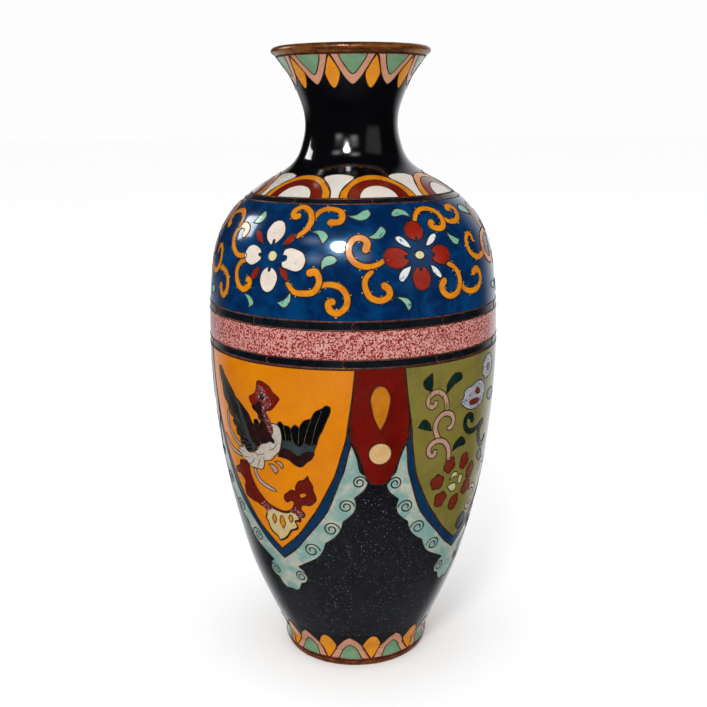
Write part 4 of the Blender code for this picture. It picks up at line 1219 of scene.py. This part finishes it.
def build_grounds():
    """The enamel that the cells are set in, band by band; each stands for one CAD enamel."""
    for name, low, high, ink, slot, enamel_node in (
        ("foot_ground", FOOT_TOP, FIELD_LOW, "black", "black", "foot_collar"),
        ("belly_ground", FIELD_LOW, FIELD_TOP, "night", "goldstone", "lower_ground"),
        *((f"{name}_border", low, high, "border", "goldstone", f"{name}_border")
          for name, (low, high, _) in BORDERS.items()),
        ("speckled_band", SPECKLED_LOW, SPECKLED_TOP, "speckled", "speckled", "speckled_band"),
        ("blue_band", SCROLLS_LOW, SCROLLS_TOP, "blue", "blue", "scroll_band"),
        ("scallop_ground", SCALLOPS_LOW, SCALLOPS_TOP, "black", "black", "scallop_band"),
        ("neck_ground", SCALLOPS_TOP, NECK_TOP, "black", "black", "neck"),
        ("collar_ground", NECK_TOP, LIP_LOW, "black", "black", "neck_collar"),
    ):
        skin(name, low, high, INK[ink], (f"{enamel_node}_enamel",))


NUMBERS = (1, 2, 3, 4)  # shields and lappets, and the CAD's nodes for them


def declare_pieces():
    """Every piece that is filled a cell at a time: name, ink or metal, slot, CAD nodes it stands for."""
    rows = [
        ("scrolls", "orange", "yellow_enamel"), ("leaves", "mint", "sea_enamel"),
        ("scroll_grains", "gold", "yellow_enamel"), ("white_petals", "white", "white_enamel"),
        ("white_slips", "ice", "white_enamel"), ("red_petals", "rose", "red_enamel"),
        ("flower_dots", "dot", "white_enamel"), ("scroll_wires", DARK_WIRE, "wire"),
        ("lappets", "lappet", "red_enamel", *(f"lappet_{n}" for n in NUMBERS)),
        ("lappet_drops", "drop", "yellow_enamel"), ("lappet_spots", "disc", "yellow_enamel"),
        ("lappet_wires", DARK_WIRE, "wire"), ("bird_clouds", "cloud_red", "red_enamel"),
        ("bird_cream", "cream", "white_enamel"), ("bird_seeds", "orange", "yellow_enamel"),
        ("bird_plumes", "plume", "white_enamel"), ("bird_pink", "pink", "white_enamel"),
        ("bird_black", "feather", "black_enamel"), ("bird_slate", "slate", "black_enamel"),
        ("bird_grey", "grey", "black_enamel"), ("bird_maroon", "maroon", "red_enamel"),
        ("bird_white", "bird_white", "white_enamel"), ("bird_face", "face", "white_enamel"),
        ("bird_red", "red", "red_enamel"), ("bird_wires", DARK_WIRE, "wire"),
        ("wing_wires", WING_WIRE, "wire"), ("rim_seams", SEAM, "wire"),
        ("spray_leaves", "teal", "green_enamel"), ("spray_stems", "pink", "white_enamel"),
        ("spray_reds", "spray_red", "red_enamel"), ("spray_pale", "pale", "white_enamel"),
        ("spray_blossoms", "blossom", "white_enamel"), ("spray_wires", DARK_WIRE, "wire"),
        ("collar_pinks", "collar_pink", "white_enamel"), ("collar_greens", "collar_green", "green_enamel"),
        ("collar_yellows", "collar_gold", "yellow_enamel"), ("collar_wires", DARK_WIRE, "wire"),
        ("scallop_whites", "shell", "white_enamel"), ("scallop_oranges", "orange", "yellow_enamel"),
        ("scallop_reds", "red", "red_enamel"), ("scallop_wires", DARK_WIRE, "wire"),
        ("border_wires", COPPER_WIRE, "wire",
         *(f"{band}_border_wire_{edge}" for band in BORDERS for edge in ("bottom", "top"))),
    ]
    for n in NUMBERS:
        ink = "yellow" if n % 2 else "olive"
        rows += [
            (f"field_{n}", ink, f"{ink}_enamel", f"shield_field_{n}"),
            (f"stripe_{n}", "stripe", "blue_enamel", f"shield_border_{n}"),
            (f"scroll_border_{n}_fine", "sea", "sea_enamel", f"scroll_border_{n}"),
            (f"shield_wires_{n}", DARK_WIRE, "wire"), (f"shield_rims_{n}", BROWN_WIRE, "wire"),
        ]
    for name, ink, slot, *stands_for in rows:
        Piece(name, INK[ink] if isinstance(ink, str) else ink, slot, stands_for)


# --- metal and linings --------------------------------------------------------------------------
def build_metal():
    """Lip, foot, their wires, the linings and the base, turned finer than the CAD's."""
    source = random.Random(3)
    waves = [(k, source.uniform(0, 6.28), source.uniform(0.2, 1.0)) for k in (2, 3, 5, 7, 11, 16)]

    def worn(angle, radius, height):
        dent = sum(a * math.sin(k * angle + p) for k, p, a in waves) * 0.018
        return radius - abs(dent), height

    def at(run, lift=0.0):
        return section(run, lift)[:2]

    lining_top = LIP_LOW - 0.9
    lining_out, lining_in = 1.75, 2.3  # how deep the linings' two faces lie
    lip = [
        at(LIP_LOW - 0.35), at(LIP_LOW + 0.25, 0.05), (22.5, 181.95), (22.94, 182.4), (22.96, 182.9),
        (22.7, 183.36), (22.2, 183.7), (21.6, 183.88), (21.1, 183.9), (20.6, 183.74), (20.1, 183.36),
        (19.85, 182.9),
        at(LIP_LOW, SKIN - 2.2), at(lining_top, SKIN - 2.2), at(lining_top, -0.5),
    ]
    turned("lip_rim", np.array(lip)[::-1], LIP_COPPER, ("lip_ring", "lip_wire"), worn)
    foot = [
        (20.1, 0.06), (20.02, 0.3), (20.02, 6.0), (20.6, 6.0), (20.6, 3.4), at(FOOT_TOP + 0.05, -0.6),
        at(FOOT_TOP + 0.05, 0.04), at(FOOT_TOP - 0.25, 0.1), at(FOOT_TOP - 0.6, 0.02), at(1.2, -0.02),
        at(0.8), (21.9, 0.28), (21.72, 0.08), (21.5, 0.01), (20.3, 0.0),
    ]
    turned("foot_rim", foot, COPPER, ("foot_ring", "foot_wire"), worn)

    runs = np.linspace(9.0, 156.0, 90)
    cup = [(0.0, 7.15), (8.0, 7.15), (16.0, 7.18)] + [at(run, SKIN - lining_out) for run in runs]
    cup += [at(run, SKIN - lining_in) for run in runs[::-1]]
    cup += [(18.0, 7.75), (10.0, 7.62), (4.0, 7.6), (0.0, 7.6)]
    lathe_cup("body_lining_fine", cup, ("body_lining",))
    runs = np.linspace(156.2, lining_top, 40)
    tube = [at(run, -lining_out) for run in runs] + [at(run, -lining_in) for run in runs[::-1]]
    turned("neck_lining_fine", tube[::-1], INK["lining"], ("neck_lining",))
    base = [(0.0, 5.42), (10.0, 5.4), (19.0, 5.3), (19.9, 5.1), (19.9, 5.95), (0.0, 5.95)]
    lathe_cup("base_enamel_fine", base, ("base_enamel",))


def lathe_cup(name, outline, stands_for):
    """A turned piece of lining whose outline starts and ends on the axis."""
    outline = [tuple(map(float, p)) for p in outline]
    turns = 192
    rim = outline[1:-1]
    points = [(0.0, 0.0, outline[0][1]), (0.0, 0.0, outline[-1][1])]
    for i in range(turns):
        angle = 2 * math.pi * i / turns
        points += [(r * math.sin(angle), -r * math.cos(angle), z) for r, z in rim]
    size = len(rim)
    faces = []
    for i in range(turns):
        a, b = 2 + i * size, 2 + (i + 1) % turns * size
        faces += [(0, b, a), (1, a + size - 1, b + size - 1)]
        faces += [(a + k, b + k, b + k + 1, a + k + 1) for k in range(size - 1)]
    points = [tuple(c * MM for c in p) for p in points]
    turned_object(name, points, faces, INK["lining"], stands_for)


# --- camera, light and floor --------------------------------------------------------------------
CAMERA_PLACE = (0.0, -0.2967, 0.1647)
CAMERA_LENS, CAMERA_SENSOR = 50.5, 36.0
CAMERA_DIP, CAMERA_ROLL = 13.474, -0.504  # degrees below level and round its axis
TARGET = Vector((0.0, 0.0, 0.11))  # where the lights aim


def build_camera():
    camera = bpy.data.objects.new("camera", bpy.data.cameras.new("camera"))
    camera.data.lens = CAMERA_LENS
    camera.data.sensor_width = CAMERA_SENSOR
    camera.data.clip_start = 0.01
    pitch, roll = math.radians(90.0 - CAMERA_DIP), math.radians(CAMERA_ROLL)
    camera.matrix_world = (
        Matrix.Translation(CAMERA_PLACE) @ Matrix.Rotation(pitch, 4, "X") @ Matrix.Rotation(roll, 4, "Z")
    )
    bpy.context.scene.collection.objects.link(camera)
    bpy.context.scene.camera = camera


def soften(light, edge):
    """Let a panel fade out towards its sides; edge is the faded share of its half."""
    light.use_nodes = True
    t = Tree(light.node_tree)
    t.tree.nodes.clear()
    across, along, _ = t.axes(t.add("ShaderNodeNewGeometry").outputs["Parametric"])
    shares = [t.remap(t.maths("PINGPONG", axis, 0.5), 0.0, 0.5 * edge) for axis in (across, along)]
    glow = t.joined("ShaderNodeEmission", {"Strength": t.maths("MULTIPLY", *shares)})
    t.link(glow, t.add("ShaderNodeOutputLight").inputs[0])


def add_light(name, direction, distance, size, energy, height=None, seen="both", turn=0.0, edge=0.0):
    """An area light aimed at the vase: a disc, or a rectangle where it has a height.

    seen tells whether it shows by diffuse light, by reflection or by both.
    """
    light = bpy.data.lights.new(name, "AREA")
    light.shape = "RECTANGLE" if height else "DISK"
    light.size = size
    if height:
        light.size_y = height
    light.energy = energy
    if edge:
        soften(light, edge)
    obj = bpy.data.objects.new(name, light)
    obj.visible_glossy = seen != "diffuse"
    obj.visible_diffuse = seen != "reflection"
    away = Vector(direction).normalized()
    obj.location = TARGET + away * distance
    aim = away.to_track_quat("Z", "Y").to_matrix()
    obj.rotation_euler = (aim @ Matrix.Rotation(math.radians(turn), 3, "Z")).to_euler()
    bpy.context.scene.collection.objects.link(obj)


def build_lights():
    key = Vector((-0.165, -0.77, 0.62))
    add_light("key_lamp", key, 0.9, 0.2, 2.75)
    add_light("key_glint", key, 0.89, 0.195, 2.0, seen="reflection")
    for side, up in ((-1, -1), (1, -1), (-1, 1), (1, 1)):
        panel = key.normalized() + Vector((0.31 * side - 0.05, 0.0, 0.0)) + Vector((0.0, 0.1, 0.15)) * up
        add_light(f"panel_{side}_{up}", panel, 0.95, 0.42, 0.95, 0.27, "reflection", edge=1.0)
    add_light("side_window", (-0.793, 0.37, 0.47), 1.0, 0.3, 2.3, 0.32, "reflection", 40.0, 0.12)
    add_light("front_panel", (0.74, -0.52, 0.42), 1.0, 0.8, 0.75, 0.85, "reflection", edge=0.55)
    add_light("left_fill", (-1.0, -0.5, 0.35), 1.2, 0.9, 0.7, seen="diffuse")
    add_light("right_fill", (1.0, -0.6, 0.35), 1.2, 0.9, 0.7, seen="diffuse")


def build_world():
    """A white room for the eye and for matt light; what the gloss mirrors is dark, with pale cards behind."""
    world = bpy.data.worlds.new("studio")
    bpy.context.scene.world = world
    world.use_nodes = True
    t = Tree(world.node_tree)
    t.tree.nodes.clear()

    def between(share, a, b):
        return t.joined("ShaderNodeMix", {0: share, 2: a, 3: b})

    def either(share, a, b):
        return t.joined("ShaderNodeMixShader", {0: share, 1: a, 2: b})

    def background(colour, strength):
        return t.joined("ShaderNodeBackground", {"Color": colour, "Strength": strength})

    rays = t.add("ShaderNodeLightPath").outputs
    right, back, up = t.axes(t.add("ShaderNodeTexCoord").outputs["Generated"])
    low_behind = t.remap(back, 0.38, 0.95, 0.0, 0.85)
    left_behind = t.remap(back, 0.86, 1.0, 0.0, 0.5)
    right_behind = t.remap(back, 0.5, 0.95, 0.0, 0.75)
    high_behind = between(t.remap(right, -0.1, 0.25), left_behind, right_behind)
    behind = between(t.remap(up, -0.35, 0.0), low_behind, high_behind)
    below = t.remap(up, -0.55, -0.82, 0.006, 0.12)
    mirrored_room = background((0.95, 0.97, 1.0, 1.0), t.maths("ADD", behind, below))
    matt_room = background((1.0, 0.995, 0.985, 1.0), 1.02)
    backdrop = background((1.0, 1.0, 1.0, 1.0), 0.985)
    unseen = either(rays["Is Diffuse Ray"], mirrored_room, matt_room)
    output = t.add("ShaderNodeOutputWorld")
    t.link(either(rays["Is Camera Ray"], unseen, backdrop), output.inputs[0])


def build_floor():
    mesh = bpy.data.meshes.new("floor")
    rings, turns = (0.0, 0.4, 1.2, 3.0, 8.0), 48
    points = [(0.0, 0.0, 0.0)]
    for radius in rings[1:]:
        points += [(radius * math.sin(a), radius * math.cos(a), 0.0)
                   for a in np.linspace(0, 2 * math.pi, turns, endpoint=False)]
    faces = [(0, 1 + (i + 1) % turns, 1 + i) for i in range(turns)]
    for k in range(len(rings) - 2):
        a, b = 1 + k * turns, 1 + (k + 1) * turns
        faces += [(a + i, a + (i + 1) % turns, b + (i + 1) % turns, b + i) for i in range(turns)]
    mesh.from_pydata(points, [], faces)
    n = Nodes("floor_card")
    tone = n.mix(n.remap(n.noise(3.0, 4.0), 0.3, 0.7), (0.976, 0.981, 0.989, 1.0), (0.984, 0.989, 0.997, 1.0))
    n.finish(tone, n.remap(n.noise(12.0), 0.3, 0.7, 0.75, 0.9), n.noise(700.0), 0.0001, 0.2)
    n.shader.inputs["Specular IOR Level"].default_value = 0.0
    mesh.materials.append(n.material)
    floor = bpy.data.objects.new("floor", mesh)
    floor.visible_glossy = False
    bpy.context.scene.collection.objects.link(floor)


# --- everything ---------------------------------------------------------------------------------
bpy.context.scene.view_settings.view_transform = "Standard"
build_camera()
build_world()
build_lights()
build_floor()
declare_pieces()
build_grounds()
build_scroll_band()
for shield in range(4):
    build_shield(shield)
    build_lappet(shield)
for half_turn in (0.0, 180.0):
    build_phoenix(half_turn)
    build_spray(half_turn)
build_neck_collar()
build_foot_collar()
build_scallops()
build_borders()
for piece in list(PIECES.values()):
    piece.build()
build_metal()
for carried in ("copper_body", "copper_neck", "copper_base"):
    for slot in bpy.data.objects[carried].material_slots:
        slot.material = COPPER
